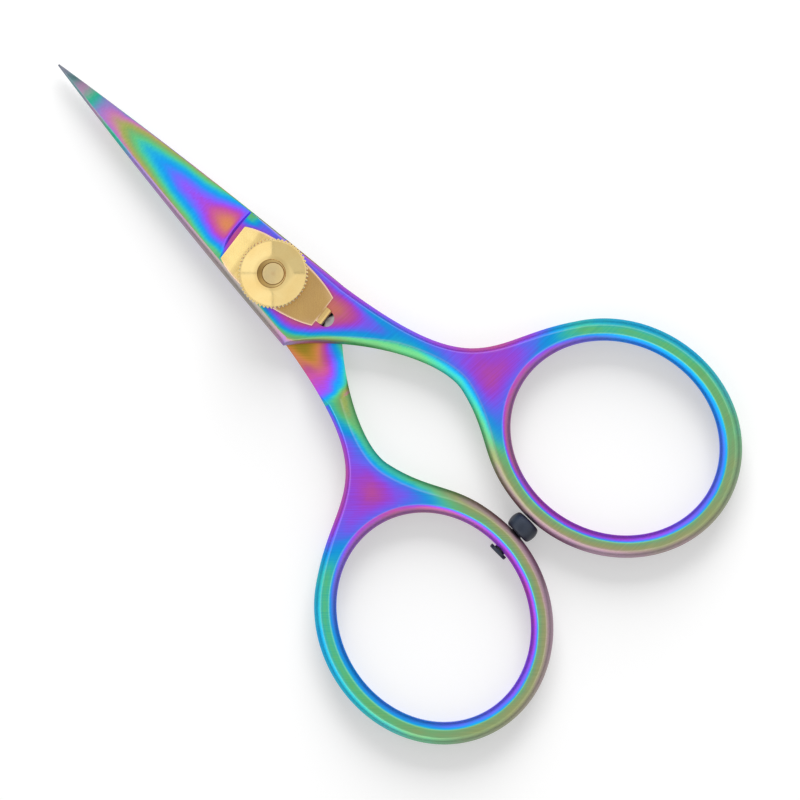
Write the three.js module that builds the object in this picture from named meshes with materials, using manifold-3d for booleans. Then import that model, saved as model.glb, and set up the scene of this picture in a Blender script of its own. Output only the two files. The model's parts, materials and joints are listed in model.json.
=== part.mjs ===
// Small fine-point shears with a knurled tension nut, modelled in millimetres, +Z up.
// The shears lie closed on their back with the tip along +Y and the front half's ring on +X.
// The origin is the middle of their length and width, on the plane that the handles rest on.
// Every piece is built in a frame with X and Y zero on the pivot's axis, and moved from there.
// The front half is uppermost. The rear half is the same forging turned over about the Y axis.
import * as THREE from "three";
import { mergeVertices } from "three/addons/utils/BufferGeometryUtils.js";
import Module from "manifold-3d";

const wasm = await Module();
wasm.setup();

// Overall sizes of both halves
const bladeReach = 38.8; // from the pivot to the tip
const handleReach = 46.2; // from the pivot back to the middle of a finger hole
const holeLong = 13.9; // half of the finger hole's long axis
const holeWide = 12.2; // half of its short axis
const ringSplay = THREE.MathUtils.degToRad(17); // how far the long axes lean apart
const ringWall = 2.9;
const ringsApart = 2.495; // between the two rings when closed, where the bumper stands
const handleThick = 4;
const rideGap = 0.06; // running gap between the two halves
const overrun = 3; // how far every cutter passes the face that it cuts

// Blade plan
const pivotHalfWidth = 4.8;
const tipHalfWidth = 0.12;
const bladeBelly = 0.25; // how far the blade's sides bow out from straight
const edgeRim = 0.15; // how far the cutting edge lies inside the other half's back
const pivotShift = 0.25; // from the blade's middle to the pivot
const tipLean = 0.5; // further lean of the tip towards the rear ring
const tangBack = 7.5; // from the pivot back to the shoulder's corner
const neckHalfWidth = 5.3; // shank's outer side beside the shoulder's corner

// Shank curves, as shares of ringSpread and handleReach
const innerFirstShares = [0.15, -0.295];
const innerSecondShares = [0.47, -0.508];
const innerKneeShares = [0.41, -0.604];
const innerThirdShares = [0.31, -0.762];
const innerFourthShares = [0.105, -0.775];
const outerFirstShares = [0.525, -0.637];
const outerSecondShares = [0.852, -0.55];
const innerJoinAngle = THREE.MathUtils.degToRad(-111); // where the shank's sides meet the ring
const outerJoinAngle = THREE.MathUtils.degToRad(134);
const cornerCrowd = 1.4; // power that draws the inner side's facets towards the shoulder's corner

// Bevels round the outline
const bevelDrop = 0.8;
const spineBand = 0.95;
const bandTipShare = 0.17;
const shoulderBand = 0.5;
const innerBand = 1.4;
const outerBand = 0.65;
const ringBand = 0.9;
const holeBand = 1.05;
const cornerBlend = 1.9; // length of each side of the shoulder's corner that its rounded crease takes
const bevelShares = [
  [1, 0],
  [0.4, 0.3],
  [0, 1],
]; // shares of the band and of the drop, from the face to the side

// Blade grind
const grindLine = 7.6; // from the pivot to where the blade's facet starts
const grindSweep = 1.2; // how far that line curves back at the spine
const plungeLength = 1.1; // run of the wheel at the start of the facet
const edgeThick = 0.12;
const tipThickShare = 0.3;
const facetCrown = 0.08;
const hollowDepth = 0.14; // hollow on the inner face
const hollowStart = 11;
const hollowEndShare = 0.92;
const hollowRimShare = 0.08; // how far the wheel's path starts below the face
const edgeLand = 0.45;
const spineLand = 0.7;

// Ride recess that lets the halves cross
const rideRadius = 13.5;
const rampRadius = 18.2;

// Pivot screw
const threadRadius = 1.4;
const journalRadius = 2.1;
const neckFlat = 1.6; // from the axis to each flat of the neck
const headRadius = 3.2;
const headThick = 0.9;
const headRecess = 0.05;
const slotWidth = 0.8;
const slotDepth = 0.4;
const screwChamfer = 0.25;
const runningClear = 0.04;
const seatClear = 0.03;
const pocketClear = 0.12;

// Washers
const glideRadius = 3.8;
const glideThick = 0.32;
const glidePocket = 0.3;
const nutWasherRadius = 3.1;
const nutWasherThick = 0.3;
const washerClear = 0.1;

// Tension plate: a leaf spring that bridges the pivot
const plateTurn = THREE.MathUtils.degToRad(7.6);
const plateThick = 0.45;
const plateRise = 0.5; // gap under the middle of the plate
const plateFront = 6.6; // reach towards the tip
const plateFold = 4.5; // from the pivot to the foot's fold
const plateBack = 8.05; // reach towards the rings
const plateHalf = 3.8; // half of its width at the pivot
const plateEndDrop = 0.2;
const plateSideShares = [
  [-1, 0.68],
  [-0.68, 0.9],
  [-0.4, 0.97],
  [0, 1],
  [0.35, 0.955],
  [0.66, 0.835],
  [1, 0.6],
]; // shares of the plate's reach on each side of the pivot, and of its half width
const tabReach = 9.05;
const tabHalf = 1.15;
const tabTipShare = 0.7;
const tabShift = 0.32;
const tabDepth = 1.3;
const tabHoleReach = 8.92;
const tabHoleShift = 0.42;
const tabHoleRadius = 1.08;
const tabHoleDepth = 1.65;

// Tension nut
const nutRadius = 4.55;
const nutHeight = 2.6;
const nutTeeth = 54;
const toothDepth = 0.17;
const toothFlatShare = 0.3;
const nutChamfer = 0.3;
const dishRim = 4.15;
const dishRadius = 2.57;
const dishDepth = 0.45;
const sinkRadius = 1.85;
const sinkDepth = 0.8;
const spindleDip = 0.5; // from the nut's rim down to the screw's end

// Rubber bumper
const bumperRadius = 1.98;
const bumperEdge = 0.45;
const bumperLag = 0.8; // how far it stands behind the rings' nearest points
const bumperGap = 0.1; // to the front ring when closed
const stemRadius = 0.8;
const tailRadius = 1.3;
const tailThick = 0.5;
const rubberClear = 0.05;

// Facets
const ringSteps = 56;
const holeSteps = 72;
const curveSteps = 18;
const cornerSteps = 4;
const facetSteps = 8;
const bladeSteps = 12;
const roundSteps = 48;

// Heights, all in the front half's own frame
const rideFace = (handleThick + rideGap) / 2;
const plateUnder = handleThick + plateRise;
const plateTop = plateUnder + plateThick;
const washerBase = plateTop + seatClear;
const nutBase = washerBase + nutWasherThick + seatClear;
const nutTop = nutBase + nutHeight;

const film = { metalness: 0.9, roughness: 0.3 };
const finishes = {
  frontFilm: new THREE.MeshStandardMaterial({ color: 0x4a7be0, ...film }),
  rearFilm: new THREE.MeshStandardMaterial({ color: 0xa24fc8, ...film }),
  gold: new THREE.MeshStandardMaterial({ color: 0xdcb66a, metalness: 1, roughness: 0.3 }),
  steel: new THREE.MeshStandardMaterial({ color: 0xc9c2a8, metalness: 1, roughness: 0.35 }),
  nylon: new THREE.MeshStandardMaterial({ color: 0xe8e6de, metalness: 0, roughness: 0.5 }),
  rubber: new THREE.MeshStandardMaterial({ color: 0x1b222b, metalness: 0, roughness: 0.7 }),
};

const lerp = THREE.MathUtils.lerp;
const clamp = THREE.MathUtils.clamp;

// Signed volume of an indexed or plain triangle mesh, positive when its faces point out.
function signedVolume(positions, index) {
  const corner = (i) => new THREE.Vector3().fromArray(positions, 3 * index[i]);
  let sum = 0;
  for (let i = 0; i < index.length; i += 3) {
    sum += corner(i).dot(corner(i + 1).cross(corner(i + 2)));
  }
  return sum / 6;
}

// A closed geometry as a solid, with its faces turned out.
function solidOf(geometry) {
  const plain = geometry.clone();
  plain.deleteAttribute("normal");
  plain.deleteAttribute("uv");
  const merged = mergeVertices(plain, 1e-5);
  const vertProperties = new Float32Array(merged.attributes.position.array);
  const triVerts = new Uint32Array(merged.index.array);
  if (signedVolume(vertProperties, triVerts) < 0) {
    for (let i = 0; i < triVerts.length; i += 3) {
      [triVerts[i + 1], triVerts[i + 2]] = [triVerts[i + 2], triVerts[i + 1]];
    }
  }
  return new wasm.Manifold(new wasm.Mesh({ numProp: 3, vertProperties, triVerts }));
}

// A solid as a named mesh.
function meshOf(name, solid, material) {
  const { numProp, vertProperties, triVerts, numVert } = solid.getMesh();
  const positions = new Float32Array(3 * numVert);
  for (let i = 0; i < numVert; i += 1) {
    positions.set(vertProperties.subarray(numProp * i, numProp * i + 3), 3 * i);
  }
  const geometry = new THREE.BufferGeometry();
  geometry.setAttribute("position", new THREE.BufferAttribute(positions, 3));
  geometry.setIndex(new THREE.BufferAttribute(triVerts, 1));
  geometry.computeVertexNormals();
  const mesh = new THREE.Mesh(geometry, material);
  mesh.name = name;
  return mesh;
}

// A solid of revolution about Z from [radius, height] pairs.
function turned(profile, steps = roundSteps) {
  const points = profile.map(([radius, height]) => new THREE.Vector2(radius, height));
  return solidOf(new THREE.LatheGeometry(points, steps).rotateX(Math.PI / 2));
}

// A plain disc or pin between two heights.
function disc(radius, low, high, steps = roundSteps) {
  return turned([[0, low], [radius, low], [radius, high], [0, high]], steps);
}

// A flat ring between two heights; its profile closes on itself.
function flatRing(inner, outer, low, high) {
  return turned([[inner, low], [outer, low], [outer, high], [inner, high], [inner, low]]);
}

// A prism of an outline in X and Y between two heights.
function prism(points, low, high) {
  const shape = new THREE.Shape(points.map(([x, y]) => new THREE.Vector2(x, y)));
  const geometry = new THREE.ExtrudeGeometry(shape, { depth: high - low, bevelEnabled: false });
  return solidOf(geometry.translate(0, 0, low));
}

function block(x0, x1, y0, y1, z0, z1) {
  const geometry = new THREE.BoxGeometry(x1 - x0, y1 - y0, z1 - z0);
  return solidOf(geometry.translate((x0 + x1) / 2, (y0 + y1) / 2, (z0 + z1) / 2));
}

// A closed solid between two grids of points that share their X and Y.
function gridSolid(lower, upper) {
  const rows = lower.length;
  const columns = lower[0].length;
  const positions = [...lower.flat(), ...upper.flat()].flat();
  const at = (layer, i, j) => layer * rows * columns + i * columns + j;
  const index = [];
  const quad = (a, b, c, d) => index.push(a, b, c, a, c, d);
  for (let i = 0; i < rows - 1; i += 1) {
    for (let j = 0; j < columns - 1; j += 1) {
      quad(at(0, i, j), at(0, i + 1, j), at(0, i + 1, j + 1), at(0, i, j + 1));
      quad(at(1, i, j), at(1, i, j + 1), at(1, i + 1, j + 1), at(1, i + 1, j));
    }
    const last = columns - 1;
    quad(at(0, i, 0), at(1, i, 0), at(1, i + 1, 0), at(0, i + 1, 0));
    quad(at(0, i, last), at(0, i + 1, last), at(1, i + 1, last), at(1, i, last));
  }
  for (let j = 0; j < columns - 1; j += 1) {
    const last = rows - 1;
    quad(at(0, 0, j), at(0, 0, j + 1), at(1, 0, j + 1), at(1, 0, j));
    quad(at(0, last, j), at(1, last, j), at(1, last, j + 1), at(0, last, j + 1));
  }
  const geometry = new THREE.BufferGeometry();
  geometry.setAttribute("position", new THREE.Float32BufferAttribute(positions, 3));
  geometry.setIndex(index);
  return solidOf(geometry);
}

// Plan of one half. The lean is -1 on the front half and 1 on the rear half before it is turned over.
const bladeShare = (y) => y / bladeReach;
function halfWidth(y) {
  const v = bladeShare(y);
  return lerp(pivotHalfWidth, tipHalfWidth, v) + bladeBelly * 4 * v * (1 - v);
}
const widthShare = (y) => Math.min(1, halfWidth(y) / pivotHalfWidth);
const bladeMiddle = (y, lean) => lean * (pivotShift + tipLean * bladeShare(y));
const spineX = (y, lean) => bladeMiddle(y, lean) - halfWidth(y);
const edgeX = (y, lean) => bladeMiddle(y, lean) + halfWidth(y) - edgeRim * widthShare(y);
const bandAt = (y) => spineBand * lerp(bandTipShare, 1, widthShare(y));

const longAxis = new THREE.Vector2(Math.sin(ringSplay), -Math.cos(ringSplay));
const shortAxis = new THREE.Vector2(Math.cos(ringSplay), Math.sin(ringSplay));
const ringSpread = ringReach(ringWall) + ringsApart / 2; // from the centreline to a finger hole's middle
const ringMiddle = new THREE.Vector2(ringSpread, -handleReach);

// A point of the ring's ellipse, grown by a margin, at an angle from its long axis.
function ringPoint(angle, margin) {
  return ringMiddle
    .clone()
    .addScaledVector(longAxis, (holeLong + margin) * Math.cos(angle))
    .addScaledVector(shortAxis, (holeWide + margin) * Math.sin(angle));
}

// How far the same ellipse reaches sideways from the ring's middle.
function ringReach(margin) {
  return Math.hypot((holeLong + margin) * longAxis.x, (holeWide + margin) * shortAxis.x);
}

const sharePoint = ([x, y]) => new THREE.Vector2(x * ringSpread, y * handleReach);

// The closed outline of one half, counter-clockwise, with the width of the bevel at each point.
function halfOutline(lean) {
  const outline = [];
  const put = (point, band) => outline.push({ point, band });
  const rows = [];
  for (let i = 0; i < bladeSteps; i += 1) {
    rows.push(lerp(bladeReach, cornerBlend - tangBack, i / bladeSteps));
  }
  for (let i = 0; i <= cornerSteps; i += 1) {
    rows.push(lerp(cornerBlend, 0, i / cornerSteps) - tangBack);
  }
  for (const y of rows) {
    put(new THREE.Vector2(spineX(y, lean), y), bandAt(y));
  }
  const corner = outline.at(-1).point;
  const knee = sharePoint(innerKneeShares);
  const innerCurve = new THREE.CubicBezierCurve(
    corner,
    sharePoint(innerFirstShares),
    sharePoint(innerSecondShares),
    knee,
  );
  for (let i = 1; i <= curveSteps; i += 1) {
    const u = (i / curveSteps) ** cornerCrowd;
    put(innerCurve.getPoint(u), lerp(shoulderBand, innerBand, Math.min(1, 2 * u)));
  }
  const kneeCurve = new THREE.CubicBezierCurve(
    knee,
    sharePoint(innerThirdShares),
    sharePoint(innerFourthShares),
    ringPoint(innerJoinAngle, ringWall),
  );
  for (let i = 1; i < curveSteps; i += 1) {
    const u = i / curveSteps;
    put(kneeCurve.getPoint(u), lerp(innerBand, ringBand, u));
  }
  for (let i = 0; i < ringSteps; i += 1) {
    const angle = lerp(innerJoinAngle, outerJoinAngle, i / ringSteps);
    put(ringPoint(angle, ringWall), ringBand);
  }
  const outerCurve = new THREE.CubicBezierCurve(
    ringPoint(outerJoinAngle, ringWall),
    sharePoint(outerSecondShares),
    sharePoint(outerFirstShares),
    new THREE.Vector2(neckHalfWidth, -tangBack),
  );
  for (let i = 0; i <= curveSteps; i += 1) {
    const u = i / curveSteps;
    put(outerCurve.getPoint(u), lerp(ringBand, outerBand, Math.min(1, 2 * u)));
  }
  for (let i = 0; i <= bladeSteps; i += 1) {
    const y = lerp(0, bladeReach, i / bladeSteps);
    const share = clamp((grindLine - y) / (grindLine + tangBack), 0, 1);
    put(new THREE.Vector2(edgeX(y, lean), y), outerBand * share);
  }
  return outline;
}

// The inward step from each outline point to the edge of the flat face. Round the shoulder's corner
// that edge is a quadratic curve, so the bevel is widest at the corner itself.
function insetSteps(outline) {
  const count = outline.length;
  const steps = outline.map(({ point, band }, i) => {
    const before = outline[(i + count - 1) % count].point;
    const after = outline[(i + 1) % count].point;
    const along = after.clone().sub(before).normalize();
    return new THREE.Vector2(-along.y, along.x).multiplyScalar(band);
  });
  // On the blade the step is straight across, so that the fine tip stays simple.
  const corner = bladeSteps + cornerSteps;
  for (let i = 0; i < corner; i += 1) {
    steps[i].set(outline[i].band, 0);
  }
  steps[count - 1].set(0, 0);
  let last = corner + 1;
  while (outline[last].point.distanceTo(outline[corner].point) < cornerBlend) {
    last += 1;
  }
  const along = outline[corner + 1].point.clone().sub(outline[corner].point).normalize();
  const shoulderStep = new THREE.Vector2(-along.y, along.x).multiplyScalar(shoulderBand);
  const bend = outline[corner].point.clone().add(shoulderStep);
  bend.addScaledVector(along, (outline[corner].point.x + bandAt(-tangBack) - bend.x) / along.x);
  const crease = new THREE.QuadraticBezierCurve(
    outline[bladeSteps].point.clone().add(steps[bladeSteps]),
    bend,
    outline[last].point.clone().add(steps[last]),
  );
  for (let i = bladeSteps; i <= last; i += 1) {
    const share = (i - bladeSteps) / (last - bladeSteps);
    steps[i].copy(crease.getPoint(share)).sub(outline[i].point);
  }
  return steps;
}

// The forged blank of one half: the outline with its finger hole, bevelled on both faces.
function bevelledBlank(lean) {
  const outline = halfOutline(lean);
  const steps = insetSteps(outline);
  const hole = [];
  const holeOut = [];
  for (let i = 0; i < holeSteps; i += 1) {
    const angle = (-2 * Math.PI * i) / holeSteps;
    hole.push(ringPoint(angle, 0));
    holeOut.push(ringPoint(angle, holeBand).sub(hole[i]));
  }
  const contour = [...outline.map(({ point }) => point), ...hole];
  const step = [...steps, ...holeOut];
  const levels = [
    ...bevelShares.map(([band, drop]) => [band, bevelDrop * drop]),
    ...bevelShares.toReversed().map(([band, drop]) => [band, handleThick - bevelDrop * drop]),
  ];
  const positions = [];
  for (const [band, height] of levels) {
    contour.forEach((point, i) => {
      const moved = point.clone().addScaledVector(step[i], band);
      positions.push(moved.x, moved.y, height);
    });
  }
  const index = [];
  const loop = (from, length) => {
    for (let level = 0; level < levels.length - 1; level += 1) {
      for (let i = 0; i < length; i += 1) {
        const a = level * contour.length + from + i;
        const b = level * contour.length + from + ((i + 1) % length);
        index.push(a, b, b + contour.length, a, b + contour.length, a + contour.length);
      }
    }
  };
  loop(0, outline.length);
  loop(outline.length, hole.length);
  const face = contour.map((point, i) => point.clone().add(step[i]));
  const top = (levels.length - 1) * contour.length;
  const faceLoop = face.slice(0, outline.length);
  const faceHole = face.slice(outline.length);
  for (const [a, b, c] of THREE.ShapeUtils.triangulateShape(faceLoop, [faceHole])) {
    index.push(a, c, b, top + a, top + b, top + c);
  }
  const geometry = new THREE.BufferGeometry();
  geometry.setAttribute("position", new THREE.Float32BufferAttribute(positions, 3));
  geometry.setIndex(index);
  return solidOf(geometry);
}

// The room that the other half needs: a flat ride face, a ramp up to the shank, and the whole blade.
function rideCutter() {
  const ramp = (rampRadius - rideRadius) / rideFace;
  const turn = turned(
    [
      [0, -overrun],
      [rampRadius + ramp * overrun, -overrun],
      [rideRadius, rideFace],
      [0, rideFace],
    ],
    2 * roundSteps,
  );
  const side = pivotHalfWidth + overrun;
  return turn.add(block(-side, side, 0, bladeReach + overrun, -overrun, rideFace));
}

// The grinding wheel's path over the blade: spine band, facet and plunge.
function grindCutter(lean) {
  const rowShares = [0, 0.1, 0.22, 0.38, 0.6, 1];
  const rowAt = rowShares.map((share) => grindLine + share * plungeLength);
  for (let i = 1; i <= bladeSteps; i += 1) {
    rowAt.push(lerp(grindLine + plungeLength, bladeReach, i / bladeSteps));
  }
  rowAt.push(bladeReach + overrun);
  const full = handleThick - rideFace;
  const lower = rowAt.map((row) => {
    const start = clamp(1 - (row - grindLine) / plungeLength, 0, 1);
    const plunge = start ** 3;
    // The surface at a share q of the way from the crease to the edge.
    const station = (q) => {
      const y = row - grindSweep * (1 - q) ** 2 * start;
      const onBlade = Math.min(y, bladeReach);
      const taper = lerp(1, tipThickShare, clamp((onBlade - grindLine) / (bladeReach - grindLine), 0, 1));
      const spine = spineX(onBlade, lean);
      const edge = edgeX(onBlade, lean);
      return { y, taper, spine, edge, crease: spine + bandAt(onBlade), creaseZ: rideFace + full * taper };
    };
    // Short of the grind line the band keeps clear of the blank's own bevel.
    const { y, taper, spine, crease, creaseZ } = station(0);
    const lift = overrun * clamp((grindLine - y) / grindSweep, 0, 1);
    const points = bevelShares.toReversed().map(([band, drop]) => {
      const rise = drop > 0 ? lift : 0;
      return [lerp(spine, crease, band), y, creaseZ - bevelDrop * drop * taper + rise];
    });
    points.unshift([spine - overrun, y, creaseZ - bevelDrop * taper + lift]);
    const edgeZ = rideFace + lerp(edgeThick, full, plunge);
    for (let i = 1; i <= facetSteps; i += 1) {
      const q = i / facetSteps;
      const at = station(q);
      const crown = facetCrown * at.taper * 4 * q * (1 - q) * (1 - plunge);
      points.push([lerp(at.crease, at.edge, q), at.y, lerp(at.creaseZ, edgeZ, q) + crown]);
    }
    points.push([station(1).edge + overrun, row, edgeZ]);
    return points;
  });
  const upper = lower.map((row) => row.map(([x, y]) => [x, y, handleThick + overrun]));
  return gridSolid(lower, upper);
}

// The shallow hollow on the blade's inner face, between the edge's land and the spine's.
function hollowCutter(lean) {
  const acrossShares = [0, 0.15, 0.35, 0.65, 0.85, 1];
  const end = bladeReach * hollowEndShare;
  const lower = [];
  const upper = [];
  for (let i = 0; i <= bladeSteps; i += 1) {
    const v = i / bladeSteps;
    const y = lerp(hollowStart, end, v);
    const share = widthShare(y);
    const left = spineX(y, lean) + spineLand * share;
    const right = edgeX(y, lean) - edgeLand * share;
    const fade = 4 * v * (1 - v) * share;
    const place = (q) => {
      const rise = hollowDepth * (Math.sin(Math.PI * q) * Math.min(1, 2 * fade) - hollowRimShare);
      return [lerp(left, right, q), y, rideFace + rise];
    };
    upper.push(acrossShares.map(place));
    lower.push(acrossShares.map((q) => [lerp(left, right, q), y, rideFace - overrun]));
  }
  return gridSolid(lower, upper);
}

// One half as forged and ground, before its bores.
function groundHalf(lean) {
  return bevelledBlank(lean)
    .subtract(rideCutter())
    .subtract(grindCutter(lean))
    .subtract(hollowCutter(lean));
}

// The neck with two flats that keys the screw to the front half.
function keyedNeck(clear, low, high) {
  const radius = journalRadius + clear;
  const flat = neckFlat + clear;
  return disc(radius, low, high).intersect(block(-radius, radius, -flat, flat, low, high));
}

function frontHalf() {
  const tabHole = plateFrame([disc(tabHoleRadius, handleThick - tabHoleDepth, handleThick + overrun)
    .translate(-tabHoleShift, -tabHoleReach, 0)]);
  return groundHalf(-1)
    .subtract(keyedNeck(runningClear, rideFace - overrun, handleThick + overrun))
    .subtract(tabHole);
}

// The rear half in its own frame, where its outer face, which ends up underneath, is at the top.
function rearHalf() {
  const headSeat = handleThick - headRecess - headThick - seatClear;
  const stemBore = bumperPlace(disc(stemRadius + rubberClear, -ringWall - overrun, overrun, roundSteps / 2));
  return groundHalf(1)
    .subtract(disc(journalRadius + runningClear, rideFace - overrun, handleThick + overrun))
    .subtract(disc(glideRadius + washerClear, rideFace - overrun, rideFace + glidePocket))
    .subtract(disc(headRadius + pocketClear, headSeat, handleThick + overrun))
    .subtract(stemBore);
}

// The screw stands with its head sunk in the rear half's back.
function pivotScrew() {
  const end = nutTop - spindleDip;
  const shoulder = handleThick - seatClear;
  const body = turned([
    [0, headRecess],
    [headRadius - screwChamfer, headRecess],
    [headRadius, headRecess + screwChamfer],
    [headRadius, headRecess + headThick],
    [journalRadius, headRecess + headThick],
    [journalRadius, rideFace],
    [threadRadius, rideFace],
    [threadRadius, end - screwChamfer],
    [threadRadius - screwChamfer, end],
    [0, end],
  ]);
  const slot = block(-headRadius - overrun, headRadius + overrun, -slotWidth / 2, slotWidth / 2,
    headRecess - overrun, headRecess + slotDepth);
  return body.add(keyedNeck(0, rideFace - rideGap, shoulder)).subtract(slot);
}

// Turns solids of the plate's own frame, with its long side on Y, to the plate's line on the blade.
function plateFrame(solids) {
  return solids
    .reduce((all, solid) => all.add(solid))
    .rotate([0, 0, THREE.MathUtils.radToDeg(plateTurn)]);
}

// The leaf spring is the overlap of its side view and its plan.
function tensionPlate() {
  const reachAt = (share) => (share < 0 ? -share * plateFront : -share * plateBack);
  const right = plateSideShares.map(([along, across]) => [across * plateHalf, reachAt(along)]);
  const left = right.map(([x, y]) => [-x, y]);
  const tabTip = tabHalf * tabTipShare;
  const plan = [
    ...left,
    [-tabShift - tabHalf, -plateBack],
    [-tabShift - tabTip, -tabReach],
    [-tabShift + tabTip, -tabReach],
    [-tabShift + tabHalf, -plateBack],
    ...right.toReversed(),
  ];
  const footDrop = plateRise - seatClear;
  const under = [
    [plateFront, -footDrop],
    [plateFold, 0],
    [-plateBack * plateSideShares.at(-2)[0], 0],
    [-plateBack, -plateEndDrop],
    [plateThick - tabReach, -plateEndDrop],
    [plateThick - tabReach, -plateRise - tabDepth],
    [-tabReach, -plateRise - tabDepth],
    [-tabReach, plateThick - plateEndDrop],
    [-plateBack, plateThick - plateEndDrop],
    [-plateBack * plateSideShares.at(-2)[0], plateThick],
    [plateFold, plateThick],
    [plateFront, plateThick - footDrop],
  ];
  const side = prism(under, -plateHalf, plateHalf)
    .rotate([90, 0, 90])
    .translate(0, 0, plateUnder);
  return plateFrame([side.intersect(prism(plan, 0, plateTop + overrun))])
    .subtract(disc(threadRadius + washerClear, 0, plateTop + overrun));
}

// The knurl: broad teeth with narrow notches between them.
function knurlOutline() {
  const points = [];
  for (let i = 0; i < nutTeeth; i += 1) {
    const tooth = (2 * Math.PI) / nutTeeth;
    for (const [share, depth] of [[0, toothDepth], [toothFlatShare, 0], [1 - toothFlatShare, 0]]) {
      const angle = (i + share) * tooth;
      const radius = nutRadius - depth;
      points.push([radius * Math.cos(angle), radius * Math.sin(angle)]);
    }
  }
  return points;
}

function tensionNut() {
  const form = turned(
    [
      [threadRadius + runningClear, nutBase],
      [nutRadius - nutChamfer, nutBase],
      [nutRadius + toothDepth, nutBase + nutChamfer + toothDepth],
      [nutRadius + toothDepth, nutTop - nutChamfer - toothDepth],
      [nutRadius - nutChamfer, nutTop],
      [dishRim, nutTop],
      [dishRadius, nutTop - dishDepth],
      [sinkRadius, nutTop - sinkDepth],
      [threadRadius + runningClear, nutTop - sinkDepth - (sinkRadius - threadRadius - runningClear)],
      [threadRadius + runningClear, nutBase],
    ],
    nutTeeth,
  );
  return form.intersect(prism(knurlOutline(), nutBase, nutTop));
}

// Puts a solid that stands along Z into the rear ring's wall, pointing to the front ring.
function bumperPlace(solid) {
  const lag = (holeLong + ringWall) ** 2 - (holeWide + ringWall) ** 2;
  const back = handleReach + bumperLag - (lag * longAxis.x * shortAxis.x) / ringReach(ringWall);
  return solid.rotate([0, -90, 0]).translate(ringsApart / 2, -back, handleThick / 2);
}

// The bumper in the rear half's own frame, where the rear ring is on +X: head, stem and tail.
function rubberBumper() {
  const bow = (tailRadius + bumperLag) ** 2 / (2 * holeWide); // of the hole's wall across the tail
  const tailStart = ringReach(0) - ringReach(ringWall) - bow - rubberClear;
  const profile = [
    [0, tailStart - tailThick],
    [tailRadius - tailThick / 2, tailStart - tailThick],
    [tailRadius, tailStart - tailThick / 2],
    [tailRadius, tailStart],
    [stemRadius, tailStart],
    [stemRadius, rubberClear],
    [bumperRadius - bumperEdge, rubberClear],
    [bumperRadius - bumperEdge / 4, rubberClear + bumperEdge / 4],
    [bumperRadius, rubberClear + bumperEdge],
    [bumperRadius, ringsApart - bumperGap - bumperEdge],
    [bumperRadius - bumperEdge / 4, ringsApart - bumperGap - bumperEdge / 4],
    [bumperRadius - bumperEdge, ringsApart - bumperGap],
    [0, ringsApart - bumperGap],
  ];
  return bumperPlace(turned(profile, roundSteps / 2));
}

// From the pivot back to the middle of the overall length.
const ringEnd = Math.hypot((holeLong + ringWall) * longAxis.y, (holeWide + ringWall) * shortAxis.y);
const middle = (handleReach + ringEnd - bladeReach) / 2;

const shears = new THREE.Group();
shears.name = "fine_point_shears";
shears.position.y = middle;
shears.add(meshOf("front_half", frontHalf(), finishes.frontFilm));
shears.add(meshOf("tension_plate", tensionPlate(), finishes.gold));
shears.add(meshOf("pivot_screw", pivotScrew(), finishes.steel));

const nutGroup = new THREE.Group();
nutGroup.name = "adjuster";
nutGroup.add(meshOf("nut_washer",
  flatRing(threadRadius + washerClear, nutWasherRadius, washerBase, washerBase + nutWasherThick),
  finishes.nylon));
nutGroup.add(meshOf("tension_nut", tensionNut(), finishes.gold));
shears.add(nutGroup);

// The rear half and what it carries are built face up, then turned over about the shears' length.
const rearGroup = new THREE.Group();
rearGroup.name = "turned_half";
rearGroup.rotation.y = Math.PI;
rearGroup.position.z = handleThick;
rearGroup.add(meshOf("rear_half", rearHalf(), finishes.rearFilm));
rearGroup.add(meshOf("glide_washer",
  flatRing(journalRadius + washerClear, glideRadius,
    rideFace + glidePocket - seatClear - glideThick, rideFace + glidePocket - seatClear),
  finishes.nylon));
rearGroup.add(meshOf("rubber_bumper", rubberBumper(), finishes.rubber));
shears.add(rearGroup);

export default shears;
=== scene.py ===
import json
import logging
import math
from dataclasses import dataclass, field, replace
from enum import Enum
from typing import Callable, Sequence

import bmesh
import bpy
import numpy as np
from mathutils import Matrix, Vector


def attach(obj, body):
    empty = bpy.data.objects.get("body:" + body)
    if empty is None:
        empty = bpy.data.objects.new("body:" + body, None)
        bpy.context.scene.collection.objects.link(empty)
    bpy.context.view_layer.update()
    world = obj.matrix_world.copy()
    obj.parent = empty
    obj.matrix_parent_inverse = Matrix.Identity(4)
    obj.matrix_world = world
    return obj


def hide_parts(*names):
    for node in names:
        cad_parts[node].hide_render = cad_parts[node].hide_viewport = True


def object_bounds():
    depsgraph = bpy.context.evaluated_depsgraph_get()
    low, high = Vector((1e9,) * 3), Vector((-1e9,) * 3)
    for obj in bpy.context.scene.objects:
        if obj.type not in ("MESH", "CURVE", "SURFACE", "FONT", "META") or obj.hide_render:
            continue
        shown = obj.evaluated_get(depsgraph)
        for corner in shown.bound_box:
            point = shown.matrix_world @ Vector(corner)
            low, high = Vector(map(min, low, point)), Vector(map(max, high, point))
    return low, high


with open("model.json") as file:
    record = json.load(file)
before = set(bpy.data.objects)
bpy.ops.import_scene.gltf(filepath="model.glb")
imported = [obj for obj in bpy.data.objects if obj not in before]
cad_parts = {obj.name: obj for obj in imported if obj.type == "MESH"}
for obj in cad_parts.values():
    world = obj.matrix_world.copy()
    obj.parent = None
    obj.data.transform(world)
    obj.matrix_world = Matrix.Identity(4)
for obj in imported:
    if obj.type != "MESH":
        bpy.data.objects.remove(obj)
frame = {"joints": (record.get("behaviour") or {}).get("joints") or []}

# Small fine-point shears with a rainbow film, a gold leaf-spring plate, a knurled tension nut and a
# rubber bumper. Sizes are in millimetres in the pivot's frame: X and Y are zero on the pivot's axis,
# the tip points along +Y, and Z is zero on the plane that the shears lie on.

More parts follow.
